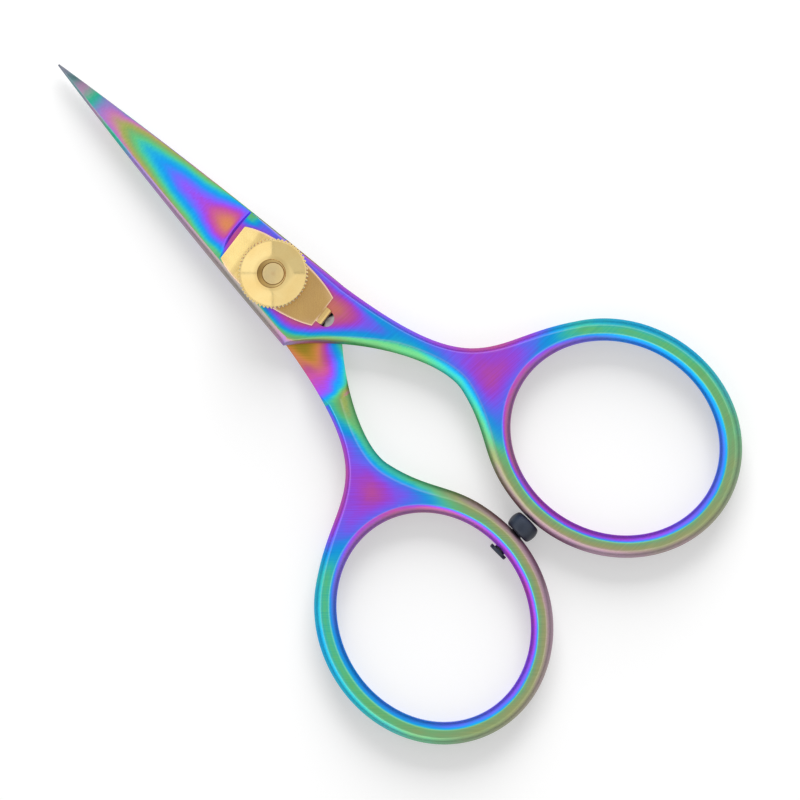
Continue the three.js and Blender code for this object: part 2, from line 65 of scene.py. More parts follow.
log = logging.getLogger("shears")
MM = 0.001
MERGE = 2e-4  # points nearer to each other than this, in millimetres, are one
Array = np.ndarray
Pair = tuple[float, float]
Triple = tuple[float, float, float]
Table = tuple[Pair, ...]
Layers = dict[str, Array]
Amount = float | Array
cad_box = [list(corner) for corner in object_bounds()]
pivot = next(joint["pos_m"] for joint in frame["joints"] if joint["name"] == "blades_open")
pivot_foot = np.array([pivot[0], pivot[1], 0])


class Side(Enum):
    """Which half a piece belongs to; the value is the lean of its blade."""

    FRONT = -1
    REAR = 1


def ramp_steps(*runs: tuple[float, float, int]) -> Array:
    """Joins even runs of numbers into one array.

    Args:
        runs: start, end and number of steps of each run; the end is left to the next run.

    Returns:
        The joined numbers, with the last run's end.
    """
    parts = [np.linspace(start, end, count, endpoint=False) for start, end, count in runs]
    return np.concatenate([*parts, [runs[-1][1]]])


def cubic(points: Array, u: Array) -> Array:
    """Cubic Bezier curve: the four control points weighed by the cubic Bernstein polynomials of u."""
    u = u[:, None]
    return ((1 - u) ** 3 * points[0] + 3 * (1 - u) ** 2 * u * points[1]
            + 3 * (1 - u) * u ** 2 * points[2] + u ** 3 * points[3])


def quadratic(start: Amount, bend: Amount, end: Amount, t: Array) -> Array:
    """Quadratic Bezier curve from start to end, its middle control point at the bend."""
    return (1 - t) ** 2 * start + 2 * t * (1 - t) * bend + t ** 2 * end


def smooth(x: Array, low: float, high: float) -> Array:
    """Smooth step: 3t squared less 2t cubed, with t the share of x between low and high."""
    t = np.clip((x - low) / (high - low), 0, 1)
    return t * t * (3 - 2 * t)


def along(path: Array) -> Array:
    """Distance along a path of points, the running sum of the lengths between neighbours."""
    return np.concatenate([[0], np.cumsum(np.hypot(*np.diff(path[:, :2], axis=0).T))])


def sampled(table: Array, places: Array) -> Array:
    """Rows of a table at fractional row numbers, each column interpolated linearly."""
    rows = np.arange(len(table))
    return np.stack([np.interp(places, rows, column) for column in table.T], axis=-1)


def looked_up(table: Table, places: Array) -> Array:
    """Values of a table of places and values, interpolated linearly."""
    return np.interp(places, *np.array(table).T)


def toward(start: Amount, end: Amount, share: Amount) -> Array:
    """Goes from start to end by a share."""
    return start + (end - start) * share


def softened(t: Array, bend: float) -> Array:
    """The larger of t and zero, its bend rounded by the parabola (t + bend) squared / 4 bend."""
    return np.where(np.abs(t) < bend, (t + bend) ** 2 / (4 * bend), np.maximum(t, 0))


def turned(x: Amount, y: Amount, angle: float) -> tuple[Amount, Amount]:
    """Turns X and Y by an angle: (x cos - y sin, x sin + y cos)."""
    return x * math.cos(angle) - y * math.sin(angle), x * math.sin(angle) + y * math.cos(angle)


def around(steps: int) -> Array:
    """Angles of even steps round a full turn."""
    return np.arange(steps) * 2 * math.pi / steps


def blurred(picture: Array, sigma: float) -> Array:
    """Gaussian blur along both axes, each a convolution with exp(-x squared / 2 sigma squared).

    Args:
        picture: array of rows and columns.
        sigma: width of the blur in cells.

    Returns:
        The blurred array.
    """
    reach = int(3 * sigma) + 1
    kernel = np.exp(-0.5 * (np.arange(-reach, reach + 1) / sigma) ** 2)
    kernel /= kernel.sum()
    for axis in (0, 1):
        picture = np.apply_along_axis(np.convolve, axis, picture, kernel, "same")
    return picture


def turned_grid(profile: Array, angles: Array) -> Array:
    """Surface of revolution: each profile point (r, z) goes to (r cos a, r sin a, z).

    Args:
        profile: points by 2 array of radius and height.
        angles: angles of the columns.

    Returns:
        Points by angles by 3 array.
    """
    radius, height = profile[:, :1], profile[:, 1:]
    return np.stack(np.broadcast_arrays(radius * np.cos(angles), radius * np.sin(angles), height), axis=-1)


def eased(profile: Sequence[Sequence[float]], steps: int = 5) -> Array:
    """Profile with rounded corners: each corner is a quadratic curve between points a little before
    and after it, with its bend at the corner itself.

    Args:
        profile: radius, height and rounding length of each corner; zero keeps the corner.
        steps: steps round each corner.

    Returns:
        Points by 2 array.
    """
    corners = np.array([point[:2] for point in profile])
    t = np.linspace(0, 1, steps + 1)[:, None]
    result = [corners[:1]]
    for i in range(1, len(corners) - 1):
        before, after = corners[i - 1] - corners[i], corners[i + 1] - corners[i]
        reach = min(profile[i][2], 0.45 * np.hypot(*before), 0.45 * np.hypot(*after))
        start, end = (corners[i] + side / np.hypot(*side) * reach for side in (before, after))
        result.append(quadratic(start, corners[i], end, t) if reach > 0 else corners[i:i + 1])
    return np.concatenate([*result, corners[-1:]])


def pin(radius: float, low: float, high: float, flat: float = math.inf, steps: int = 96) -> Array:
    """Plain pin along Z, or one with two flats.

    Args:
        radius: of the pin.
        low: its lower end.
        high: its upper end.
        flat: distance from the axis to each flat.
        steps: number of columns round it.

    Returns:
        The pin's grid of points.
    """
    points = turned_grid(np.array([[0, low], [radius, low], [radius, high], [0, high]]), around(steps))
    points[..., 1] = np.clip(points[..., 1], -flat, flat)
    return points


@dataclass(frozen=True)
class Turn:
    """How a half and what it carries goes from its own frame to the pivot's frame, and back."""

    side: Side
    thick: float = 4.0

    def __call__(self, points: Array) -> Array:
        """Turns the rear half's points over about the shears' length, and keeps the front half's."""
        return points if self.side is Side.FRONT else points * (-1, 1, -1) + (0, 0, self.thick)


class Shell:
    """Grids of points in millimetres, collected and joined into one closed mesh."""

    def __init__(self, *tubes: Array) -> None:
        """Starts the shell.

        Args:
            tubes: grids whose last column joins their first.
        """
        self.points: list[Array] = []
        self.faces: list[Array] = []
        self.count = 0
        for tube in tubes:
            self.grid(tube, closed=True)

    def grid(self, points: Array, closed: bool = False) -> None:
        """Adds a grid of quads.

        Args:
            points: rows by columns by 3 array.
            closed: joins the last column to the first.
        """
        index = np.arange(points.shape[0] * points.shape[1]).reshape(points.shape[:2])
        if closed:
            index = np.concatenate([index, index[:, :1]], axis=1)
        quads = np.stack([index[:-1, :-1], index[1:, :-1], index[1:, 1:], index[:-1, 1:]], axis=-1)
        self.faces.append(quads.reshape(-1, 4) + self.count)
        self.points.append(points.reshape(-1, 3))
        self.count += len(self.points[-1])

    def built(self, name: str, place: Turn, cutter: bool = False) -> bpy.types.Object:
        """Makes the mesh: equal points merged, empty faces dropped, seams closed, faces turned out.

        Args:
            name: the piece's name.
            place: moves the points from the piece's own frame to the pivot's frame.
            cutter: whether it only cuts a hole, and so may stand out of the CAD box.

        Returns:
            The new object, at the origin, with its place in its mesh.
        """
        points = place(np.concatenate(self.points)) * MM + pivot_foot
        if not cutter:
            points = np.clip(points, *cad_box)
        mesh = bpy.data.meshes.new(name)
        mesh.from_pydata(points.tolist(), [], np.concatenate(self.faces).tolist())
        work = bmesh.new()
        work.from_mesh(mesh)
        bmesh.ops.remove_doubles(work, verts=work.verts, dist=MERGE * MM)
        bmesh.ops.dissolve_degenerate(work, dist=MERGE * MM, edges=work.edges)
        bmesh.ops.recalc_face_normals(work, faces=work.faces)
        work.to_mesh(mesh)
        work.free()
        item = bpy.data.objects.new(name, mesh)
        bpy.context.scene.collection.objects.link(item)
        mesh.shade_smooth()
        return item


@dataclass(frozen=True)
class Piece:
    """A piece's name, the node that it stands for, its body, its finish slot (not used) and the angle in degrees
    from which its edges are sharp."""

    name: str
    node: str
    body: str
    slot: str
    sharp: float = 0.0

    def make(self, shell: Shell, place: Turn, material: bpy.types.Material, cutters: Sequence[Shell] = (),
             layers: Callable[[Array], Layers] | None = None) -> None:
        """Builds the piece, bores it, dresses it and puts it in its node's place.

        Args:
            shell: its shape.
            place: how the shape goes to the pivot's frame.
            material: its finish.
            cutters: what is cut out of it.
            layers: works out the numbers that the finish reads, from points in the pivot's frame.
        """
        item = shell.built(self.name, place)
        for cutter in cutters:
            self.bore(item, cutter.built("cut", place, cutter=True))
        if layers:
            points = np.empty(3 * len(item.data.vertices))
            item.data.vertices.foreach_get("co", points)
            for name, values in layers((points.reshape(-1, 3) - pivot_foot) / MM).items():
                layer = item.data.attributes.new(name, "FLOAT", "POINT")
                layer.data.foreach_set("value", values.astype(np.float32))
        item.data.materials.append(material)
        if self.sharp:
            item.data.set_sharp_from_angle(angle=math.radians(self.sharp))
        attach(item, self.body)
        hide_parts(self.node)
        log.info("%s: %d faces", item.name, len(item.data.polygons))

    @staticmethod
    def bore(item: bpy.types.Object, cutter: bpy.types.Object) -> None:
        """Cuts a closed solid out of a piece and removes the solid.

        Args:
            item: the piece.
            cutter: the solid.
        """
        cut = item.modifiers.new("bore", "BOOLEAN")
        cut.operation = "DIFFERENCE"
        cut.solver = "EXACT"
        cut.object = cutter
        bpy.context.view_layer.update()
        solid = item.evaluated_get(bpy.context.evaluated_depsgraph_get())
        mesh = bpy.data.meshes.new_from_object(solid)
        item.modifiers.clear()
        old, item.data = item.data, mesh
        bpy.data.meshes.remove(old)
        bpy.data.objects.remove(cutter)
        item.data.name = item.name


@dataclass
class ShearHalf:
    """One forged half: blade, shank and finger ring, worked out in its own frame, face up, ring on +X."""

    side: Side
    blade_reach: float = 38.8
    handle_reach: float = 46.2
    hole_long: float = 13.9
    hole_wide: float = 12.2
    ring_splay: float = math.radians(17)
    ring_wall: float = 2.9
    rings_apart: float = 2.495
    thick: float = 4.0
    ride_gap: float = 0.06
    pivot_half_width: float = 4.8
    tip_half_width: float = 0.12
    belly: float = 0.25
    edge_rim: float = 0.15
    pivot_shift: float = 0.25
    tip_lean: float = 0.5
    tang_back: float = 7.5
    neck_half_width: float = 5.3
    bevel_drop: float = 0.8
    spine_band: float = 0.95
    band_tip_share: float = 0.17
    shoulder_band: float = 0.5
    inner_band: float = 1.4
    outer_band: float = 0.65
    ring_band: float = 0.9
    hole_band: float = 1.05
    corner_blend: float = 1.9
    grind_line: float = 7.6
    grind_sweep: float = 1.2
    plunge: float = 0.35
    edge_thick: float = 0.12
    tip_thick_share: float = 0.3
    facet_crown: float = 0.08
    hollow_depth: float = 0.14
    hollow_start: float = 11.0
    hollow_end_share: float = 0.92
    hollow_rim_share: float = 0.08
    edge_land: float = 0.45
    spine_land: float = 0.7
    ride_radius: float = 13.5
    ramp_radius: float = 18.2
    ramp_bend: float = 0.14
    fillet: float = 0.09
    knee_split: float = 0.3
    outer_split: float = 0.42
    web_angle: float = math.radians(-168.5)
    ring_rows: int = 240
    arm_shares: tuple[float, ...] = (0, 0.03, 0.1, 0.22, 0.36, 0.5, 0.64, 0.78, 0.9, 0.97, 1)
    curve_points: int = 400
    spine_points: int = 700
    ring_points: int = 700
    tang_points: int = 80
    edge_points: int = 600
    blade_rows: int = 80
    body_rows: int = 16
    corner_rows: int = 9
    near_rows: int = 12
    ramp_rows: int = 24
    web_rows: int = 36
    plunge_steps: tuple[float, ...] = (0.9, 0.8, 0.7, 0.6, 0.5, 0.4, 0.31, 0.23, 0.16, 0.1, 0.06, 0.03, 0.01, 0)
    behind_line: tuple[float, ...] = (0.04, 0.1, 0.2, 0.4, 0.8)
    bend_support: float = 0.1
    heading_row: int = 20
    ring_ease: float = 0.15
    # The outline's control points, as shares of the rings' spread and of the handles' reach.
    knee: Pair = (0.41, -0.604)
    shoulder_bends: Table = ((0.15, -0.295), (0.47, -0.508))
    knee_bends: Table = ((0.31, -0.762), (0.105, -0.775))
    shank_bends: Table = ((0.852, -0.55), (0.525, -0.637))
    ring_joins: Pair = (math.radians(-111), math.radians(134))
    bevel_bend: Pair = (0.4, 0.3)
    bevel_steps: tuple[float, ...] = (0.78, 0.6, 0.44, 0.3, 0.18, 0.08, 0.02, 0)
    # Holes and recesses.
    tab_turn: float = math.radians(7.6)
    tab_hole: Pair = (-0.42, -8.92)
    tab_bore: float = 1.08
    tab_bore_depth: float = 1.65
    pivot_bore: float = 2.14
    neck_flat: float = 1.64
    stem_bore: float = 0.85
    bumper_lag: float = 0.8
    glide_recess: float = 3.9
    glide_depth: float = 0.3
    head_recess: float = 3.32
    head_depth: float = 0.98
    over: float = 3.0
    table: Array = field(init=False)
    splits: tuple[int, int] = field(init=False)

    def __post_init__(self) -> None:
        """Works out the axes of the ring and the dense outline with its inward steps."""
        splay = self.ring_splay
        self.long_axis = np.array([math.sin(splay), -math.cos(splay)])
        self.short_axis = np.array([math.cos(splay), math.sin(splay)])
        self.spread = self.ring_reach(self.ring_wall) + self.rings_apart / 2
        self.ring_middle = np.array([self.spread, -self.handle_reach])
        self.ride_face = (self.thick + self.ride_gap) / 2
        self.bevel_shares, self.bevel_drops = self.bevel_profile()
        self.tab_middle = np.array(turned(*self.tab_hole, self.tab_turn))
        self.place = Turn(self.side, self.thick)
        self.outline()

    def ring_reach(self, margin: float) -> float:
        """How far the ring's ellipse, grown by a margin, reaches sideways from its middle."""
        return math.hypot((self.hole_long + margin) * self.long_axis[0],
                          (self.hole_wide + margin) * self.short_axis[0])

    def ring_point(self, angle: Array, margin: float) -> Array:
        """Points of the ring's ellipse: the middle plus the long axis times the cosine of the angle plus
        the short axis times its sine, both half axes grown by the margin."""
        return (self.ring_middle + np.outer(np.cos(angle), self.long_axis) * (self.hole_long + margin)
                + np.outer(np.sin(angle), self.short_axis) * (self.hole_wide + margin))

    def half_width(self, y: Array) -> Array:
        """Half of the blade's width: linear from the pivot to the tip, plus a parabola for the belly."""
        v = y / self.blade_reach
        return toward(self.pivot_half_width, self.tip_half_width, v) + self.belly * 4 * v * (1 - v)

    def width_share(self, y: Array) -> Array:
        """Width of the blade as a share of its width at the pivot, 1 behind the pivot."""
        return np.minimum(1, self.half_width(y) / self.pivot_half_width)

    def middle_x(self, y: Array) -> Array:
        """Middle of the blade, which leans further towards the other ring along its length."""
        return self.side.value * (self.pivot_shift + self.tip_lean * y / self.blade_reach)

    def spine_x(self, y: Array) -> Array:
        """The blade's back."""
        return self.middle_x(y) - self.half_width(y)

    def edge_x(self, y: Array) -> Array:
        """The cutting edge, which lies just inside the other half's back."""
        return self.middle_x(y) + self.half_width(y) - self.edge_rim * self.width_share(y)

    def band_at(self, y: Array) -> Array:
        """Width of the bevel along the blade's back."""
        return self.spine_band * (self.band_tip_share + (1 - self.band_tip_share) * self.width_share(y))

    def taper(self, y: Array) -> Array:
        """Thickness of the ground blade as a share, falling evenly from the grind line to the tip."""
        v = np.clip((y - self.grind_line) / (self.blade_reach - self.grind_line), 0, 1)
        return 1 + (self.tip_thick_share - 1) * v

    def bevel_profile(self) -> tuple[Array, Array]:
        """Bevel from the flat face to the side: a quadratic curve of share of band against share of drop,
        with a small round where it leaves the face.

        Returns:
            Shares of the band, falling to zero at the side, and the shares of the drop there.
        """
        t = np.linspace(0, 1, 200)
        share, drop = quadratic(1, self.bevel_bend[0], 0, t), quadratic(0, self.bevel_bend[1], 1, t)
        bend = self.fillet
        shares = np.array([1 + bend, 1 + bend / 3, 1 - bend / 3, 1 - bend, *self.bevel_steps])
        slope = np.interp(1 - bend, share[::-1], drop[::-1]) / bend
        rounded = slope / 4 / bend * (1 + bend - shares) ** 2
        return shares, np.where(shares > 1 - bend - 1e-9, rounded, np.interp(shares, share[::-1], drop[::-1]))

    def edge_fade(self, y: Array) -> Array:
        """Share left of the outer bevel, which fades out from the tang to the grind line."""
        return np.clip((self.grind_line - y) / (self.grind_line + self.tang_back), 0, 1)

    def outline(self) -> None:
        """Works out the closed outline, counter-clockwise from the tip down the back: X, Y, and the
        inward step to the bevel's crease, one row of the table every tenth of a millimetre or so."""
        u = np.linspace(0, 1, self.curve_points)
        scale = np.array([self.spread, self.handle_reach])
        y = np.linspace(self.blade_reach, -self.tang_back, self.spine_points)
        spine = np.stack([self.spine_x(y), y], axis=1)
        knee, neck = self.knee * scale, np.array([self.neck_half_width, -self.tang_back])
        inner = cubic(np.array([spine[-1], *(self.shoulder_bends * scale), knee]), u)
        ring = self.ring_point(np.linspace(*self.ring_joins, self.ring_points), self.ring_wall)
        kneeward = cubic(np.array([knee, *(self.knee_bends * scale), ring[0]]), u)
        outer = cubic(np.array([ring[-1], *(self.shank_bends * scale), neck]), u)
        tang_side = np.linspace(neck, [self.edge_x(np.array(0.0)), 0], self.tang_points)
        y = np.linspace(0, self.blade_reach, self.edge_points)
        edge = np.stack([self.edge_x(y), y], axis=1)
        runs = [
            (spine, self.band_at(spine[:, 1])),
            (inner, toward(self.shoulder_band, self.inner_band, np.minimum(1, 2 * u))),
            (kneeward, toward(self.inner_band, self.ring_band, u)),
            (ring, np.full(len(ring), self.ring_band)),
            (outer, toward(self.ring_band, self.outer_band, np.minimum(1, 2 * u))),
            (tang_side, self.outer_band * self.edge_fade(tang_side[:, 1])),
            (edge, self.outer_band * self.edge_fade(edge[:, 1])),
        ]
        dense = np.concatenate([np.column_stack(run)[min(i, 1):] for i, run in enumerate(runs)])
        points, band = dense[:, :2], dense[:, 2]
        tangent = np.roll(points, -1, axis=0) - np.roll(points, 1, axis=0)
        tangent /= np.hypot(*tangent.T)[:, None]
        normal = np.stack([-tangent[:, 1], tangent[:, 0]], axis=1)
        ease = np.ones(9) / 9
        normal = np.stack([np.convolve(np.pad(column, 4, "edge"), ease, "valid") for column in normal.T], axis=1)
        normal /= np.hypot(*normal.T)[:, None]
        step = normal * band[:, None]
        ends = np.cumsum([len(run[0]) - 1 for run in runs])
        self.corner, self.edge_row = int(ends[0]), int(ends[5])
        self.splits = (int(ends[1] + int(self.knee_split * len(u[1:]))),
                       int(ends[3] + int(self.outer_split * len(u[1:]))))
        step[:self.corner + 1] = np.stack([band[:self.corner + 1], np.zeros(self.corner + 1)], axis=1)
        self.round_corner(points, step, inner)
        self.table = np.column_stack([points, step])

    def round_corner(self, points: Array, step: Array, inner: Array) -> None:
        """Rounds the crease inside the shoulder's corner: a quadratic curve from the spine's crease to the
        shoulder's, with its bend where the two creases would meet.

        Args:
            points: the outline.
            step: the inward steps, changed in place.
            inner: the shoulder's curve, from the corner on.
        """
        distance = along(points)
        distance -= distance[self.corner]
        rows = np.where(np.abs(distance) <= self.corner_blend)[0]
        heading = inner[self.heading_row] - inner[0]
        heading /= np.hypot(*heading)
        bend = points[self.corner] + np.array([-heading[1], heading[0]]) * self.shoulder_band
        want = points[self.corner, 0] + self.band_at(np.array(-self.tang_back))
        bend = bend + heading * (want - bend[0]) / heading[0]
        t = (0.5 + 0.5 * distance[rows] / self.corner_blend)[:, None]
        t = (t - t[0]) / (t[-1] - t[0])
        crease = points[rows] + step[rows]
        step[rows] = quadratic(crease[0], bend, crease[-1], t) - points[rows]

    def places_at(self, y: Array, rows: Array) -> Array:
        """Table places where the outline crosses values of Y, among rows along which Y falls."""
        return np.interp(-y, -self.table[rows, 1], rows)

    def rows(self) -> tuple[Array, Array, Array, int, int]:
        """Where the cross-lines of the blade and shank meet the outline.

        Returns:
            Table places on the left side and on the right side from the tip to the web, the plunge's
            share on each row, and the numbers of the rows at the pivot and at the ramp's end.
        """
        spine = np.arange(self.corner + 1)
        edge = np.arange(len(self.table) - 1, self.splits[1] - 1, -1)
        blade = ramp_steps((self.blade_reach, self.grind_line + self.plunge, self.blade_rows))
        start = np.array(self.plunge_steps)
        bend = self.grind_line + self.plunge * start
        behind = self.grind_line - np.array(self.behind_line)
        body = np.concatenate([behind, ramp_steps((behind[-1], 0, self.body_rows))[1:]])
        body_left = body - self.grind_sweep * np.clip(body / self.grind_line, 0, 1)
        left = self.places_at(np.concatenate([blade, bend - self.grind_sweep * (1 - start), body_left]), spine)
        right = self.places_at(np.concatenate([blade, bend, body]), edge)
        plunge = np.concatenate([np.zeros(len(blade)), (1 - start) ** 3])
        pivot_row = len(left) - 1
        # Behind the pivot both ends of a row follow the crease's distance from the pivot.
        reach = np.hypot(*(self.table[:, :2] + self.table[:, 2:]).T)
        blend_y = self.corner_blend - self.tang_back
        fall = ramp_steps((0, blend_y, self.corner_rows), (blend_y, -self.tang_back, self.corner_rows))
        to_corner = self.places_at(fall, spine)[1:]
        far = np.arange(self.corner, self.splits[0] + 1)
        near = np.interp(np.linspace(0.15, self.corner_blend, self.near_rows), along(self.table[far, :2]), far)
        near_reach = np.interp(near, far, reach[far])
        gap = self.bend_support
        bends = (self.ride_radius - gap, self.ride_radius + gap, self.ramp_radius - gap, self.ramp_radius + gap)
        radii = ramp_steps((near_reach[-1], bends[0], self.near_rows), (bends[0], bends[1], 2),
                           (bends[1], bends[2], self.ramp_rows), (bends[2], bends[3], 2),
                           (bends[3], self.ramp_radius + 0.5, 3))[1:]
        down = edge[self.table[edge, 1] < 0]
        across = np.interp(reach[self.corner], reach[down], down)
        left = np.concatenate([left, to_corner, near, np.interp(radii, reach[far], far)])
        right = np.concatenate([right, np.linspace(self.places_at(0, down), across, len(to_corner) + 1)[1:],
                                np.interp(np.concatenate([near_reach, radii]), reach[down], down)])
        ramp_row = len(left) - 1
        left = np.concatenate([left, self.even(left[-1], self.splits[0], self.web_rows)])
        right = np.concatenate([right, self.even(right[-1], self.splits[1], self.web_rows)])
        return left, right, np.pad(plunge, (0, len(left) - len(plunge)), constant_values=1), pivot_row, ramp_row

    def even(self, start: float, end: float, count: int) -> Array:
        """Table places at even distances along the outline.

        Args:
            start: place to start from, which is left out.
            end: last place.
            count: number of places.

        Returns:
            The places.
        """
        places = np.linspace(*sorted((start, end)), self.curve_points)
        distance = along(sampled(self.table, places))
        result = np.interp(np.linspace(0, distance[-1], count + 1), distance, places)
        return result[1:] if end > start else result[::-1][1:]

    def ride_height(self, points: Array) -> Array:
        """Height that the other half needs below this one: the ride face within the ride radius and on
        the blade, an even ramp from there down to zero at the ramp radius, softened at both bends.

        Args:
            points: points in plan.

        Returns:
            The height at each point.
        """
        reach = np.hypot(points[..., 0], points[..., 1])
        share = (self.ramp_radius - reach) / (self.ramp_radius - self.ride_radius)
        ramp = self.ride_face * (softened(share, self.ramp_bend) - softened(share - 1, self.ramp_bend))
        return np.where(points[..., 1] > 0, self.ride_face, np.minimum(ramp, self.ride_face))

    def hollow(self, points: Array) -> Array:
        """Hollow on the blade's inner face: half a sine wave across, a parabola along, less the rim.

        Args:
            points: points in plan.

        Returns:
            The hollow's depth at each point.
        """
        y = np.clip(points[..., 1], self.hollow_start, self.blade_reach * self.hollow_end_share)
        v = (y - self.hollow_start) / (self.blade_reach * self.hollow_end_share - self.hollow_start)
        share = self.width_share(y)
        left = self.spine_x(y) + self.spine_land * share
        right = self.edge_x(y) - self.edge_land * share
        q = np.clip((points[..., 0] - left) / np.maximum(right - left, 1e-6), 0, 1)
        fade = 4 * v * (1 - v) * share
        rise = self.hollow_depth * (np.sin(np.pi * q) * np.minimum(1, 2 * fade) - self.hollow_rim_share)
        return np.maximum(0, rise)

    def face_level(self, y: Array) -> Array:
        """Height of the face, which falls to the tip on the ground blade."""
        return self.ride_face + (self.thick - self.ride_face) * self.taper(y)

    def edge_level(self, plunge: Array) -> Array:
        """Height at the cutting edge, which rises to the full thickness along the plunge."""
        return toward(self.ride_face + self.edge_thick, self.thick, plunge)

    def band_grid(self, places: Array, plunge: Array, edge: bool) -> tuple[Array, Array]:
        """Bevels along part of the outline, on the face and on the back.

        Args:
            places: table places of the rows.
            plunge: the plunge's share on each row.
            edge: whether the rows run along the cutting edge.

        Returns:
            Grids of the face's bevel and of the back's bevel, from the crease out to the side.
        """
        rows = sampled(self.table, places)
        plan = rows[:, None, :2] + rows[:, None, 2:] * self.bevel_shares[None, :, None]
        y, drop = rows[:, 1:2], self.bevel_drop * self.bevel_drops
        top = self.face_level(y) - drop * self.taper(y)
        if edge:
            limit = self.edge_level(plunge)[:, None]
            top = np.where(y > self.grind_line - 1e-6, np.minimum(self.thick - drop, limit), top)
            top = np.where(plunge[:, None] < 1, np.minimum(top, limit), top)
        back = np.maximum(drop, self.ride_height(plan))
        return np.dstack([plan, np.broadcast_to(top, back.shape)]), np.dstack([plan, back])

    def strip(self, left: Array, right: Array, plunge: Array, pivot_row: int, ramp_row: int
              ) -> tuple[Array, Array]:
        """Face and back of the blade and shank between the creases.

        Args:
            left: table places of the rows' left ends.
            right: table places of their right ends.
            plunge: the plunge's share on each row.
            pivot_row: number of the row through the pivot.
            ramp_row: number of the last row that is an arc about the pivot.

        Returns:
            Grids of the face and of the back.
        """
        shares = np.array(self.arm_shares)
        q = np.concatenate([shares / 2, 0.5 + shares[1:] / 2])
        ends = [sampled(self.table, places) for places in (left, right)]
        start, end = (rows[:, :2] + rows[:, 2:] * (1 + self.fillet) for rows in ends)
        straight = toward(start[:, None], end[:, None], q[None, :, None])
        straight[..., 1] = end[:, None, 1] - (end[:, 1] - start[:, 1])[:, None] * (1 - q) ** 2
        angle = toward(*(np.arctan2(side[:, :1], -side[:, 1:]) for side in (start, end)), q)
        reach = toward(*(np.hypot(side[:, :1], side[:, 1:]) for side in (start, end)), q)
        arcs = np.stack([reach * np.sin(angle), -reach * np.cos(angle)], axis=-1)
        corner_row = int(np.searchsorted(left, self.corner))
        weight = smooth(np.arange(len(left)), pivot_row - 4, corner_row)[:, None, None]
        plan = straight * (1 - weight) + arcs * weight
        self.web_patch(plan, start, end, ramp_row, q)
        y, plunge = plan[..., 1], plunge[:, None]
        crown = self.facet_crown * self.taper(y) * 4 * q * (1 - q) * (1 - plunge)
        top = np.where(plunge >= 1, self.thick, toward(self.face_level(y), self.edge_level(plunge), q) + crown)
        return np.dstack([plan, top]), np.dstack([plan, self.ride_height(plan) + self.hollow(plan)])

    def web_patch(self, plan: Array, start: Array, end: Array, ramp_row: int, q: Array) -> None:
        """Fills the shank behind the ramp: a Coons patch between the last arc, the two creases and the
        bent line through the finger hole's nearest point.

        Args:
            plan: rows by columns by 2 array, changed in place behind the ramp.
            start: left ends of the rows.
            end: right ends of the rows.
            ramp_row: number of the last arc.
            q: shares of the columns.
        """
        web = self.ring_point(np.array([self.web_angle]), self.hole_band * (1 + self.fillet))[0]
        first = plan[ramp_row].copy()
        half = len(q) // 2
        last = np.concatenate([start[-1] + np.outer(2 * q[:half + 1], web - start[-1]),
                               web + np.outer(2 * q[half + 1:] - 1, end[-1] - web)])
        rows = slice(ramp_row, None)
        w = np.linspace(0, 1, len(start) - ramp_row)[:, None, None]
        s = q[None, :, None]
        low, high = start[rows, None], end[rows, None]
        plan[rows] = ((1 - w) * first + w * last + (1 - s) * low + s * high
                      - (1 - w) * ((1 - s) * first[0] + s * first[-1]) - w * ((1 - s) * last[0] + s * last[-1]))

    def ring_patch(self, places: Array) -> tuple[Array, Array, Array]:
        """Flat part of the ring between the outline's crease and the finger hole's crease.

        Args:
            places: table places from the web's left arm round the ring to its right arm.

        Returns:
            Grids of the face and of the back, and the angle of each row on the hole.
        """
        rows = sampled(self.table, places)
        outer = rows[:, :2] + rows[:, 2:] * (1 + self.fillet)
        offset = rows[:, :2] - self.ring_middle
        angle = np.unwrap(np.arctan2(offset @ self.short_axis / (self.hole_wide + self.ring_wall),
                                     offset @ self.long_axis / (self.hole_long + self.ring_wall)))
        share = np.linspace(0, 1, len(places))
        start = self.web_angle - angle[0]
        end = self.web_angle + 2 * math.pi - angle[-1]
        ease = self.ring_ease
        angle = (angle + start * np.clip(1 - share / ease, 0, 1) ** 2
                 + end * np.clip((share - (1 - ease)) / ease, 0, 1) ** 2)
        inner = self.ring_point(angle, self.hole_band * (1 + self.fillet))
        s = np.array(self.arm_shares)[None, :, None]
        plan = outer[:, None] * (1 - s) + inner[:, None] * s
        face = np.dstack([plan, np.full(plan.shape[:2], self.thick)])
        return face, np.dstack([plan, self.ride_height(plan)]), angle

    def hole_grids(self, angle: Array) -> tuple[Array, Array]:
        """Bevels of the finger hole.

        Args:
            angle: angle of each row on the hole.

        Returns:
            Grids on the face and on the back, from the crease in to the wall.
        """
        plan = np.stack([self.ring_point(angle, self.hole_band * share) for share in self.bevel_shares], axis=1)
        drop = np.broadcast_to(self.bevel_drop * self.bevel_drops, plan.shape[:2])
        return np.dstack([plan, self.thick - drop]), np.dstack([plan, drop])

    @staticmethod
    def wall(face: Array, back: Array) -> Array:
        """Side between the outer columns of two bevels, with support lines near its ends."""
        t = np.array([0, 0.05, 0.5, 0.95, 1])[None, :, None]
        return face[:, -1:] * (1 - t) + back[:, -1:] * t

